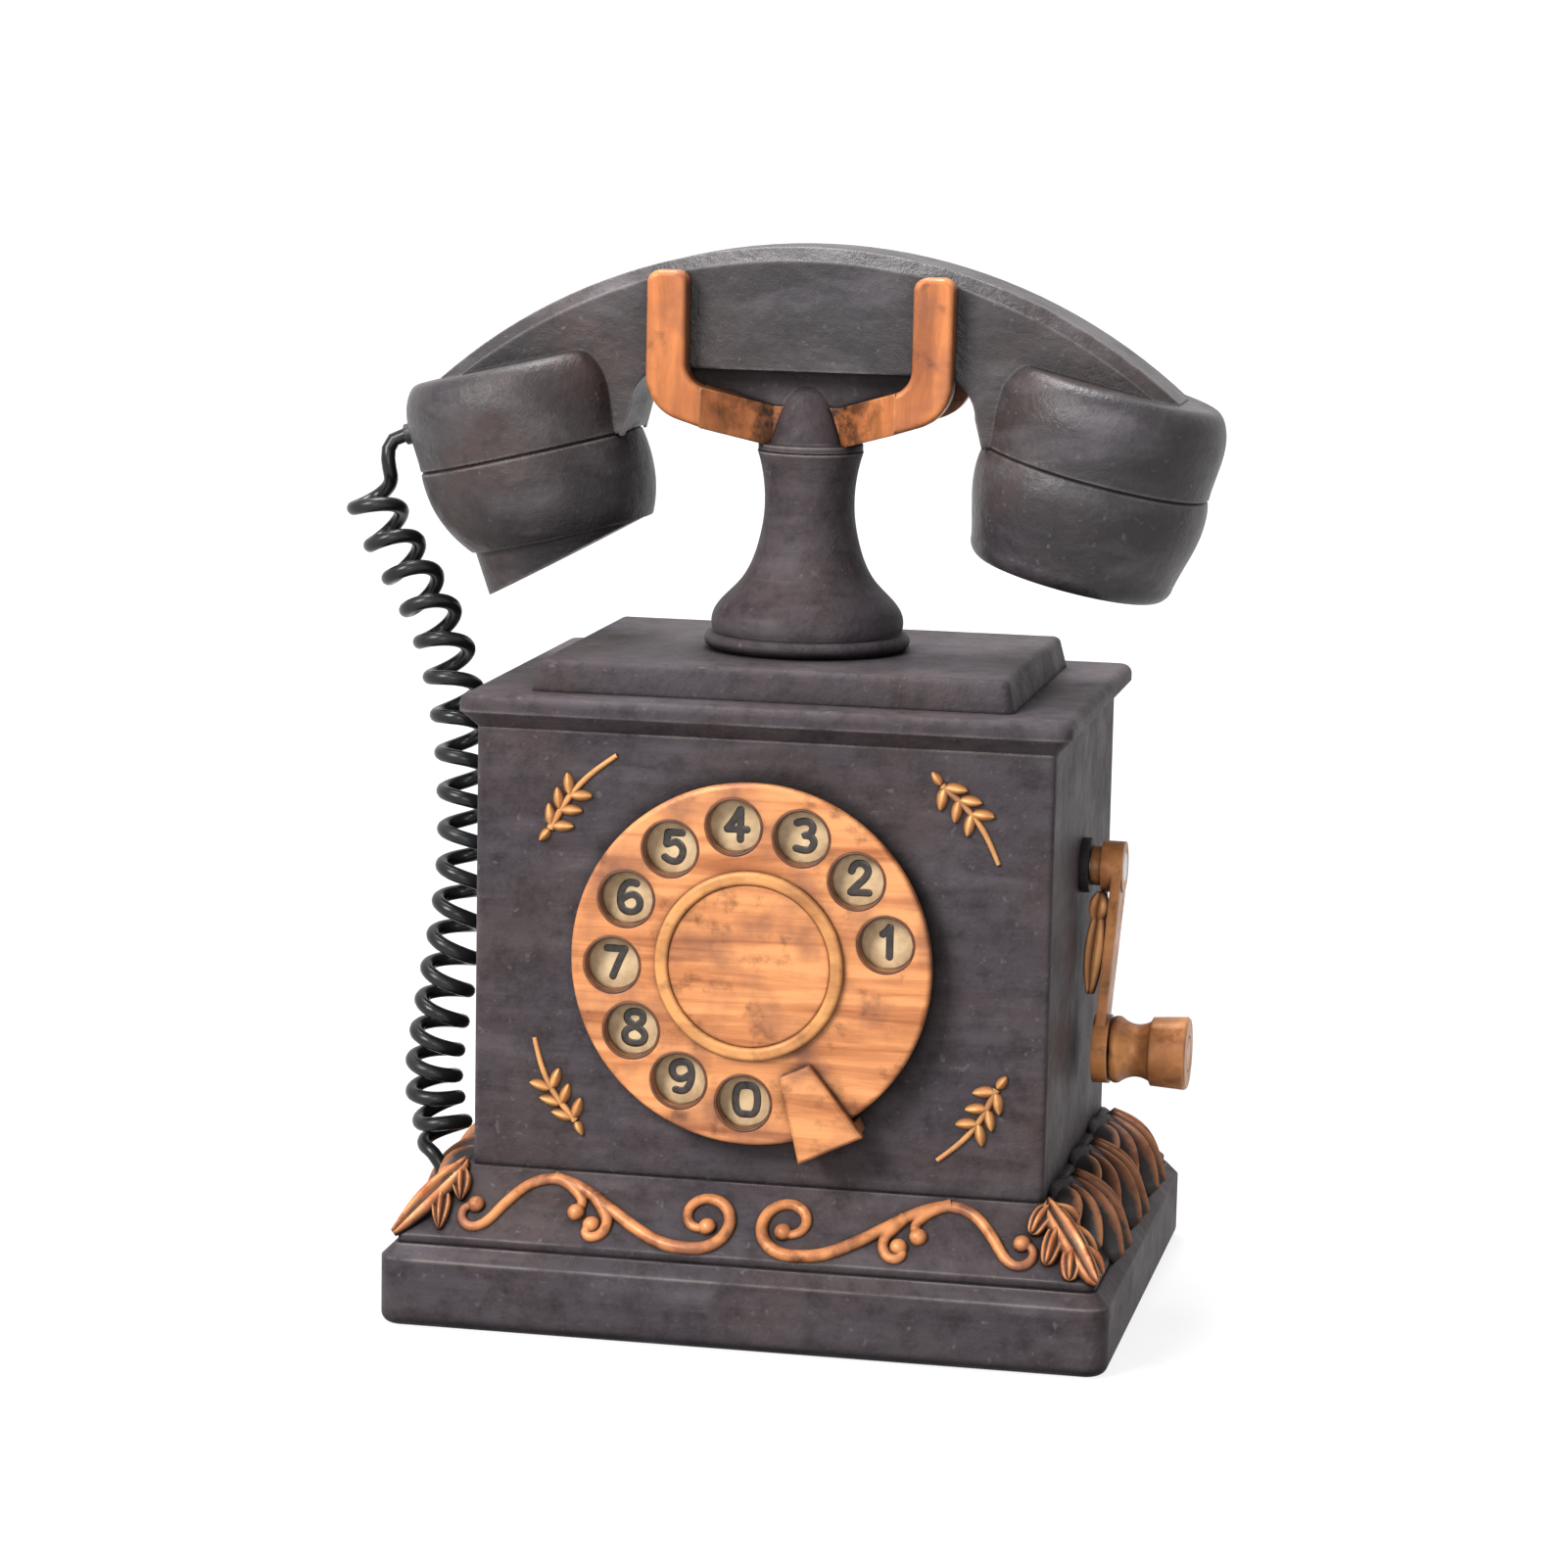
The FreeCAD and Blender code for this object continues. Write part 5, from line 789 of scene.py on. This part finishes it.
def set_leaves(name, leaf, finish, rows):
    """Mesh of leaves; each row gives a place, a heading, a normal, and length, width and height."""
    spots = bpy.data.meshes.new(name)
    spots.from_pydata([row[0] for row in rows], [], [])
    turn = spots.attributes.new("turn", "FLOAT_VECTOR", "POINT")
    size = spots.attributes.new("size", "FLOAT_VECTOR", "POINT")
    for index, (place, heading, normal, sizes) in enumerate(rows):
        ahead = heading.normalized()
        side = normal.cross(ahead).normalized()
        turn.data[index].vector = Matrix((ahead, side, ahead.cross(side))).transposed().to_euler()
        size.data[index].vector = sizes
    holder = link(bpy.data.objects.new(name, spots))
    setter = holder.modifiers.new("leaves", "NODES")
    setter.node_group = leaf_tree
    values = {"Leaf": leaf, "Finish": finish}
    for socket in leaf_tree.interface.items_tree:
        if socket.name in values:
            setter[socket.identifier] = values[socket.name]
    mesh = settled_mesh(holder)
    drop(holder)
    return mesh


def relief_copper(name, bright, dull, hollow, least, most):
    """Cast copper that is rubbed bright on its ridges and dark in the hollows between them, with painted
    shade in its creases.
    """
    material, tree, shader = new_finish(name)
    wear_light = wear_light_masks(tree, edge_radius=0.0004, crease_reach=0.003, mottle_scale=190.0)
    rise = put(tree, "ShaderNodeAttribute", attribute_name="rise").outputs["Fac"]
    uneven = ranged(tree, wear_light["Mottle"], 0.25, 0.75, start=-0.3, end=0.3)
    height = put(tree, "ShaderNodeMath", {0: rise, 1: uneven}, operation="ADD").outputs[0]
    colour = blended(tree, ranged(tree, wear_light["Mottle"], 0.35, 0.65), bright, dull)
    colour = blended(tree, ranged(tree, height, least, most), hollow, colour)
    # Painted shade in the creases.
    colour = blended(tree, wear_light["Crease"], colour, copper_dark)
    tree.links.new(colour, shader.inputs["Base Color"])
    rough_by(tree, shader, wear_light["Mottle"], smoothest=0.36, roughest=0.58)
    shader.inputs["Metallic"].default_value = relief_metal
    shader.inputs["Specular IOR Level"].default_value = relief_gloss
    raised_by(tree, shader, wear_light["Mottle"], wear_light["Normal"], strength=0.3, depth=0.0004)
    return material


def ornament(name, mesh, finish, body, *covered):
    """Ornament piece that rides on a body, in place of the CAD nodes that it covers."""
    made = piece(name, mesh, finish)
    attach(made, body)
    for node in covered:
        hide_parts(node)


leaf_tree = leaf_setter()
ribbed_leaf = leaf_blade("ribbed_leaf", rows=18, columns=16, point=0.75, crest=0.2, dome=0.5, rib=0.4,
                         rim=0.35)
arm_relief_painted_light = relief_copper("arm_relief_painted_light", arm_leaf_painted_light_bright, arm_leaf_painted_light_dull, arm_leaf_painted_light_hollow, least=-0.1,
                           most=0.5)
arm_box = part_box("crank_arm")
hub_z = arm_box[1].z - arm_hub_radius
arm_inner_x = arm_box[0].x + arm_lean
arm_down = Vector((-arm_lean, 0.0, -arm_throw)).normalized()
arm_rows = []
for drop_down, length in ((arm_leaf_drop, arm_leaf_length), (arm_bud_drop, arm_bud_length)):
    inner = Vector((arm_inner_x - arm_lean * drop_down / arm_throw, arm_leaf_front, hub_z - drop_down))
    arm_rows.append((inner, arm_down, arm_leaf_out, (length, arm_leaf_width, arm_leaf_height)))
ornament("crank_leaf", set_leaves("crank_leaf", ribbed_leaf, arm_relief_painted_light, arm_rows), arm_relief_painted_light, "crank")


# Scrolls
# Two mirrored cast strands on the front of the coving, each a wave that rolls into a curl by the middle.
# They are copper, rubbed on top and nearly black along their feet, and bedded in the coving.

scroll_bright = (0.78, 0.31, 0.115, 1)
scroll_dull = (0.2, 0.055, 0.02, 1)
strand_half = 0.0019
strand_thin = 0.0013
bud_radius = 0.0025
curl_centre = Vector((-0.0118, 0.0113))
curl_outer = 0.0099
curl_inner = 0.0032
curl_start = -100.0
curl_sweep = 400.0
curl_steps = 14
curl_tightening = 1.5
wave = [(-0.0738, 0.0102), (-0.077, 0.0096), (-0.0772, 0.0054), (-0.0736, 0.003), (-0.0696, 0.0054),
        (-0.066, 0.0114), (-0.0605, 0.018), (-0.0537, 0.0202), (-0.047, 0.0184), (-0.0395, 0.0136),
        (-0.0315, 0.0078), (-0.022, 0.0024)]
upper_tendril = [(-0.0537, 0.0202), (-0.0505, 0.0192), (-0.0466, 0.0162), (-0.0444, 0.0126), (-0.0462, 0.01)]
lower_tendril = [(-0.042, 0.0155), (-0.0395, 0.0122), (-0.037, 0.0084), (-0.038, 0.004), (-0.0414, 0.0026),
                 (-0.0432, 0.005), (-0.0414, 0.0066)]

coving_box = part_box("base_coving")
case_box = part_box("case")
coving_lip = 0.0022
coving_shoulder = 0.0015
foot_z = coving_box[0].z + coving_lip
foot_front = Vector((0.0, coving_box[0].y, foot_z))
top_front = Vector((0.0, case_box[0].y - coving_shoulder, coving_box[1].z))


def slope_frame(foot, top, along):
    """Matrix from slope coordinates (along, up the slope, out of it) to the object's frame."""
    climb = (top - foot).normalized()
    out = along.cross(climb).normalized()
    return Matrix.Translation(foot) @ Matrix((along, climb, out)).transposed().to_4x4()


def tapered(count, first, last):
    """Half widths that run evenly from first to last."""
    return [first + (last - first) * index / (count - 1) for index in range(count)]


def scroll_mesh(side):
    """One scroll: its wave and curl, two tendrils and the buds at their ends."""
    curl = []
    for index in range(curl_steps + 1):
        share = index / curl_steps
        radius = curl_inner + (curl_outer - curl_inner) * (1 - share) ** curl_tightening
        angle = math.radians(curl_start + curl_sweep * share)
        curl.append((curl_centre.x + radius * math.cos(angle), curl_centre.y + radius * math.sin(angle)))
    halves = tapered(len(wave), strand_thin, strand_half) + tapered(len(curl), strand_half, strand_thin)
    strands = [(wave + curl, halves)]
    for tendril in (upper_tendril, lower_tendril):
        strands.append((tendril, tapered(len(tendril), strand_half, strand_thin)))
    shapes = []
    for points, widths in strands:
        drawn = [(-side * x, y) for x, y in points]
        shapes.append(strand_mesh(drawn, widths))
        shapes.append(bud_mesh(drawn[-1], bud_radius))
    first = wave[0]
    shapes.append(bud_mesh((-side * first[0], first[1]), bud_radius))
    mesh = merged(shapes, "scroll")
    mesh.transform(slope_frame(foot_front, top_front, Vector((1.0, 0.0, 0.0))))
    return mesh


scroll_copper = copper("scroll_copper", scroll_bright, scroll_dull,
                       stroke_values(110.0, 110.0, 110.0, 0.44, 0.64), crease_reach=0.004,
                       edge_radius=0.0006, patina=0.85)
for side, word in ((-1, "left"), (1, "right")):
    ornament("scroll_relief_" + word, scroll_mesh(side), scroll_copper, "base", "scroll_" + word)


# Corner and side leaves
# Cast leaves that lap over the coving: one on each front corner, and three along each side that are fans of
# copper fingers over a painted pad. They are nearly black in their hollows and rubbed bright on their ridges.

clump_count = 3
clump_first = -0.0355
clump_step = 0.0365
clump_slant = -0.01
clump_fingers = [(-0.0095, -40, 0.8, 0.0054), (-0.0065, -21, 0.98, 0.0068), (-0.0005, -5, 1.1, 0.0076),
                 (0.0055, 11, 1.02, 0.007), (0.0105, 30, 0.84, 0.0056)]
finger_width = 0.0078
finger_root = 0.04
finger_middle = 0.6
pad_reach = 0.85
pad_size = (0.034, 0.0052)
gland_y = -0.04
gland_room = 0.0095
corner_reach = 0.0004
left_lobes = [(0.06, 0.0105, 44), (0.32, 0.0135, 40)]
right_lobes = [(0.04, 0.0095, 56), (0.27, 0.0125, 44), (0.55, 0.01, 32)]
blade_start = -0.04
blade_reach = 1.06
left_blade = (0.0088, 0.0048)
right_blade = (0.0084, 0.005)
left_lobe_size = (0.0058, 0.004)
right_lobe_size = (0.0064, 0.0046)
side_bright = (0.78, 0.31, 0.12, 1)
side_dull = (0.24, 0.085, 0.04, 1)
side_hollow = (0.03, 0.024, 0.024, 1)
corner_bright = (0.92, 0.4, 0.16, 1)
corner_dull = (0.42, 0.13, 0.045, 1)
corner_hollow = (0.06, 0.022, 0.012, 1)

side_relief = relief_copper("side_relief", side_bright, side_dull, side_hollow, least=0.4, most=1.05)
corner_relief = relief_copper("corner_relief", corner_bright, corner_dull, corner_hollow, least=0.1,
                              most=0.65)
soft_leaf = leaf_blade("soft_leaf", rows=16, columns=12, point=0.55, crest=0.5, dome=0.75, rib=0.3, rim=0.0)
blunt_leaf = leaf_blade("blunt_leaf", rows=18, columns=16, point=0.4, crest=0.22, dome=0.6, rib=0.35,
                        rim=0.25)


def turned(vector, normal, angle):
    """Vector turned about a normal."""
    return Matrix.Rotation(angle, 3, normal) @ vector


def side_rows(side):
    """Leaves of one side: rows of their pads on the slope, and of the fingers that fan out over each pad."""
    foot_x = coving_box[1].x * side
    top_x = (case_box[1].x + coving_shoulder) * side
    run = Vector((foot_x - top_x, clump_slant, foot_z - coving_box[1].z))
    normal = Vector((side * (coving_box[1].z - foot_z), 0.0, abs(foot_x - top_x))).normalized()
    pads = []
    fingers = []
    for clump in range(clump_count):
        root = Vector((top_x, clump_first + clump_step * clump - clump_slant / 2, coving_box[1].z))
        pads.append((root, run, normal, (run.length * pad_reach, *pad_size)))
        for shift, angle, reach, height in clump_fingers:
            start = root + Vector((0.0, shift, 0.0)) + run * finger_root
            heading = turned(run, normal, side * math.radians(angle))
            middle = start + heading * finger_middle
            if side < 0 and abs(middle.y - gland_y) < gland_room:
                continue
            fingers.append((start, heading, normal, (run.length * reach, finger_width, height)))
    return pads, fingers


def corner_rows(side, lobes, blade, lobe_size):
    """Lobes of one corner leaf: a long one down the corner's edge and pairs that lap over both slopes."""
    top = Vector((side * (case_box[1].x + coving_shoulder), case_box[0].y - coving_shoulder, coving_box[1].z))
    foot = Vector((side * coving_box[1].x, coving_box[0].y, foot_z))
    edge = foot - top
    front_out = Vector((0.0, -(coving_box[1].z - foot_z), abs(foot.y - top.y))).normalized()
    side_out = Vector((side * (coving_box[1].z - foot_z), 0.0, abs(foot.x - top.x))).normalized()
    middle_out = (front_out + side_out).normalized()
    rows = [(top + edge * blade_start, edge, middle_out, (edge.length * blade_reach, *blade))]
    for share, length, angle in lobes:
        start = top + edge * share
        for out, way in ((front_out, -side), (side_out, side)):
            heading = turned(edge.normalized(), out, way * math.radians(angle))
            rows.append((start + out * corner_reach, heading, out, (length, *lobe_size)))
    return rows


for side, word in ((-1, "left"), (1, "right")):
    pads, fingers = side_rows(side)
    ornament("side_foliage_" + word, set_leaves("side_foliage", soft_leaf, side_relief, fingers), side_relief,
             "base", "side_leaves_" + word)
    side_pads = piece("side_pads_" + word, set_leaves("side_pads", soft_leaf, charcoal, pads), charcoal)
    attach(side_pads, "base")
left_corner = corner_rows(-1, left_lobes, left_blade, left_lobe_size)
right_corner = corner_rows(1, right_lobes, right_blade, right_lobe_size)
ornament("corner_foliage_left", set_leaves("corner_foliage", ribbed_leaf, corner_relief, left_corner),
         corner_relief, "base", "corner_leaf_left")
ornament("corner_foliage_right", set_leaves("corner_foliage", blunt_leaf, corner_relief, right_corner),
         corner_relief, "base", "corner_leaf_right")


# Sprigs
# Four small cast sprigs on the front of the case, around the dial, each a bowed stem with paired leaves.
# They are brighter than the other ornaments, and each stem thins out into a bare tail.

sprig_ends = [((-0.0571, 0.1331), (-0.0392, 0.1537)), ((0.0478, 0.1502), (0.0633, 0.1301)),
              ((-0.0492, 0.0542), (-0.0608, 0.0763)), ((0.0644, 0.0704), (0.049, 0.0501))]
sprig_stem = 0.0011
sprig_tail = 0.0007
sprig_bow = 0.0022
sprig_pairs = 3
sprig_pitch = 0.0048
sprig_first = 0.0009
sprig_sweep = 0.9
sprig_leaf = (0.0062, 0.0034, 0.0017)
sprig_tip = (0.0044, 0.0028, 0.0016)
stem_spots = (0, 0.25, 0.5, 0.75, 1)
sprig_bright = (0.92, 0.48, 0.18, 1)
sprig_dull = (0.66, 0.28, 0.1, 1)
sprig_hollow = (0.4, 0.15, 0.055, 1)
stem_bright = (0.86, 0.42, 0.155, 1)
stem_dull = (0.5, 0.19, 0.07, 1)

sprig_relief = relief_copper("sprig_relief", sprig_bright, sprig_dull, sprig_hollow, least=-0.1, most=0.4)
stem_copper = copper("stem_copper", stem_bright, stem_dull, stroke_values(90.0, 90.0, 90.0, 0.5, 0.75),
                     crease_reach=0.002, edge_radius=0.0003)
face_y = case_box[0].y


def sprig_shapes(leafy, bare):
    """Stem points on the case's front from the leafy end to the bare one, and the rows of its leaves."""
    start = Vector((leafy[0], face_y, leafy[1]))
    run = Vector((bare[0], face_y, bare[1])) - start
    along = run.normalized()
    out = Vector((0.0, -1.0, 0.0))
    aside = out.cross(along)
    bow = aside * sprig_bow * 4
    stem = [start + run * share + bow * share * (1 - share) for share in stem_spots]
    rows = [(start, -along, out, sprig_tip)]
    for pair in range(sprig_pairs):
        share = (sprig_first + sprig_pitch * pair) / run.length
        root = start + run * share + bow * share * (1 - share)
        for side in (-1, 1):
            rows.append((root, aside * side + along * sprig_sweep, out, sprig_leaf))
    return stem, rows


stem_meshes = []
sprig_rows = []
for leafy, bare in sprig_ends:
    stem, rows = sprig_shapes(leafy, bare)
    sprig_rows += rows
    widths = tapered(len(stem), sprig_stem, sprig_tail)
    stem_meshes.append(strand_mesh([(point.x, point.z) for point in stem], widths))
stems = merged(stem_meshes, "sprig_stems")
stems.transform(Matrix.Translation((0.0, face_y, 0.0)) @ Matrix.Rotation(math.pi / 2, 4, "X"))
ornament("sprig_stems", stems, stem_copper, "base")
ornament("sprig_leaves", set_leaves("sprig_leaves", soft_leaf, sprig_relief, sprig_rows),
         sprig_relief, "base", "front_sprigs")
for pattern in (ribbed_leaf, soft_leaf, blunt_leaf):
    drop(pattern)


# Works inside
# Plain steel, brass, enamelled and board parts of the hook switch, dial, magneto and ringer.
# They are fixed to the case's walls and to the deck inside, and stay hidden while it is closed.
# The bottom plate, its screws and the hook rod share their steel.

works_looks = [
    ("works_steel", "steel", (0.46, 0.46, 0.47, 1), (0.34, 0.34, 0.35, 1), 1.0, 0.35, 80.0),
    ("works_brass", "brass", (0.72, 0.5, 0.2, 1), (0.55, 0.35, 0.12, 1), 1.0, 0.32, 80.0),
    ("works_enamel", "magnet", (0.1, 0.1, 0.12, 1), (0.06, 0.06, 0.07, 1), 0.0, 0.4, 90.0),
    ("works_board", "insulator", (0.2, 0.1, 0.055, 1), (0.13, 0.06, 0.03, 1), 0.0, 0.6, 120.0),
]
for name, slot, tone, other, metallic, roughness, scale in works_looks:
    finish = plain_finish(name, tone, other, metallic, roughness, scale)
    for row in frame["record"]["subparts"]:
        if row["material_slot"] == slot:
            dress(finish, row["node"])


# Stage
# A wide pale floor under soft studio light from the upper left, seen from the photograph's place.
# The floor and the sky glow white only where they are looked at, so they add little light to the part.

floor_half = 60.0
floor_tone = (0.16, 0.16, 0.16, 1)
floor_roughness = 0.9
floor_glow = 0.85
glow_near = 0.25
glow_far = 1.2
sky_light = 0.15
lamps = [("key_light", (-0.9, -1.3, 1.2), 0.7, 38.0), ("fill_light", (0.2, -1.6, 0.5), 0.5, 5.5),
         ("top_light", (-0.25, 0.3, 1.7), 0.7, 34.0)]
camera_place = Vector((0.2489, -1.2456, 0.3517))
camera_target = Vector((-0.0056, 0.0, 0.1388))
camera_roll = math.radians(1.12)
sensor_width = 36.0
focal_pixels = 4800.0
image_pixels = 1601.0


def looked_at(tree):
    """Value that is 1 where the camera, a gloss or a clear material looks, and 0 for other light."""
    path = put(tree, "ShaderNodeLightPath").outputs
    seen = put(tree, "ShaderNodeMath", {0: path["Is Camera Ray"], 1: path["Is Glossy Ray"]},
               operation="MAXIMUM")
    return put(tree, "ShaderNodeMath", {0: seen.outputs[0], 1: path["Is Transmission Ray"]},
               operation="MAXIMUM").outputs[0]


floor_mesh = bpy.data.meshes.new("floor")
corners = [(-floor_half, -floor_half, 0), (floor_half, -floor_half, 0), (floor_half, floor_half, 0),
           (-floor_half, floor_half, 0)]
floor_mesh.from_pydata(corners, [], [(0, 1, 2, 3)])
floor_paint, floor_tree, floor_shader = new_finish("floor_paint")
floor_shader.inputs["Base Color"].default_value = floor_tone
floor_shader.inputs["Roughness"].default_value = floor_roughness
floor_distance = put(floor_tree, "ShaderNodeVectorMath", {0: object_place(floor_tree)},
                     operation="LENGTH").outputs["Value"]
floor_level = ranged(floor_tree, floor_distance, glow_near, glow_far, floor_glow, 1.0)
floor_white = put(floor_tree, "ShaderNodeEmission",
                  {"Strength": product(floor_tree, looked_at(floor_tree), floor_level)})
floor_sum = put(floor_tree, "ShaderNodeAddShader", {0: floor_shader.outputs[0], 1: floor_white.outputs[0]})
floor_tree.links.new(floor_sum.outputs[0], floor_tree.nodes["Material Output"].inputs["Surface"])
floor = piece("floor", floor_mesh, floor_paint, smooth=False)

world = bpy.data.worlds.new("studio")
bpy.context.scene.world = world
world.use_nodes = True
sky = world.node_tree.nodes["Background"]
sky.inputs["Color"].default_value = (1, 1, 1, 1)
world.node_tree.links.new(ranged(world.node_tree, looked_at(world.node_tree), 0.0, 1.0, sky_light, 1.0),
                          sky.inputs["Strength"])


def softbox(name, place, size, power):
    """Square area lamp that faces the part."""
    lamp = bpy.data.lights.new(name, "AREA")
    lamp.size = size
    lamp.energy = power
    light = link(bpy.data.objects.new(name, lamp))
    light.location = place
    light.rotation_euler = (camera_target - Vector(place)).to_track_quat("-Z", "Y").to_euler()


for name, place, size, power in lamps:
    softbox(name, place, size, power)

looking = (camera_target - camera_place).normalized()
level_right = looking.cross(Vector((0, 0, 1))).normalized()
level_up = level_right.cross(looking)
image_right = level_right * math.cos(camera_roll) + level_up * math.sin(camera_roll)
image_up = level_up * math.cos(camera_roll) - level_right * math.sin(camera_roll)
lens = bpy.data.cameras.new("camera")
lens.sensor_width = sensor_width
lens.lens = focal_pixels / image_pixels * sensor_width
camera = link(bpy.data.objects.new("camera", lens))
camera.matrix_world = Matrix((image_right, image_up, -looking)).transposed().to_4x4()
camera.location = camera_place
bpy.context.scene.camera = camera
bpy.context.scene.view_settings.view_transform = "Standard"
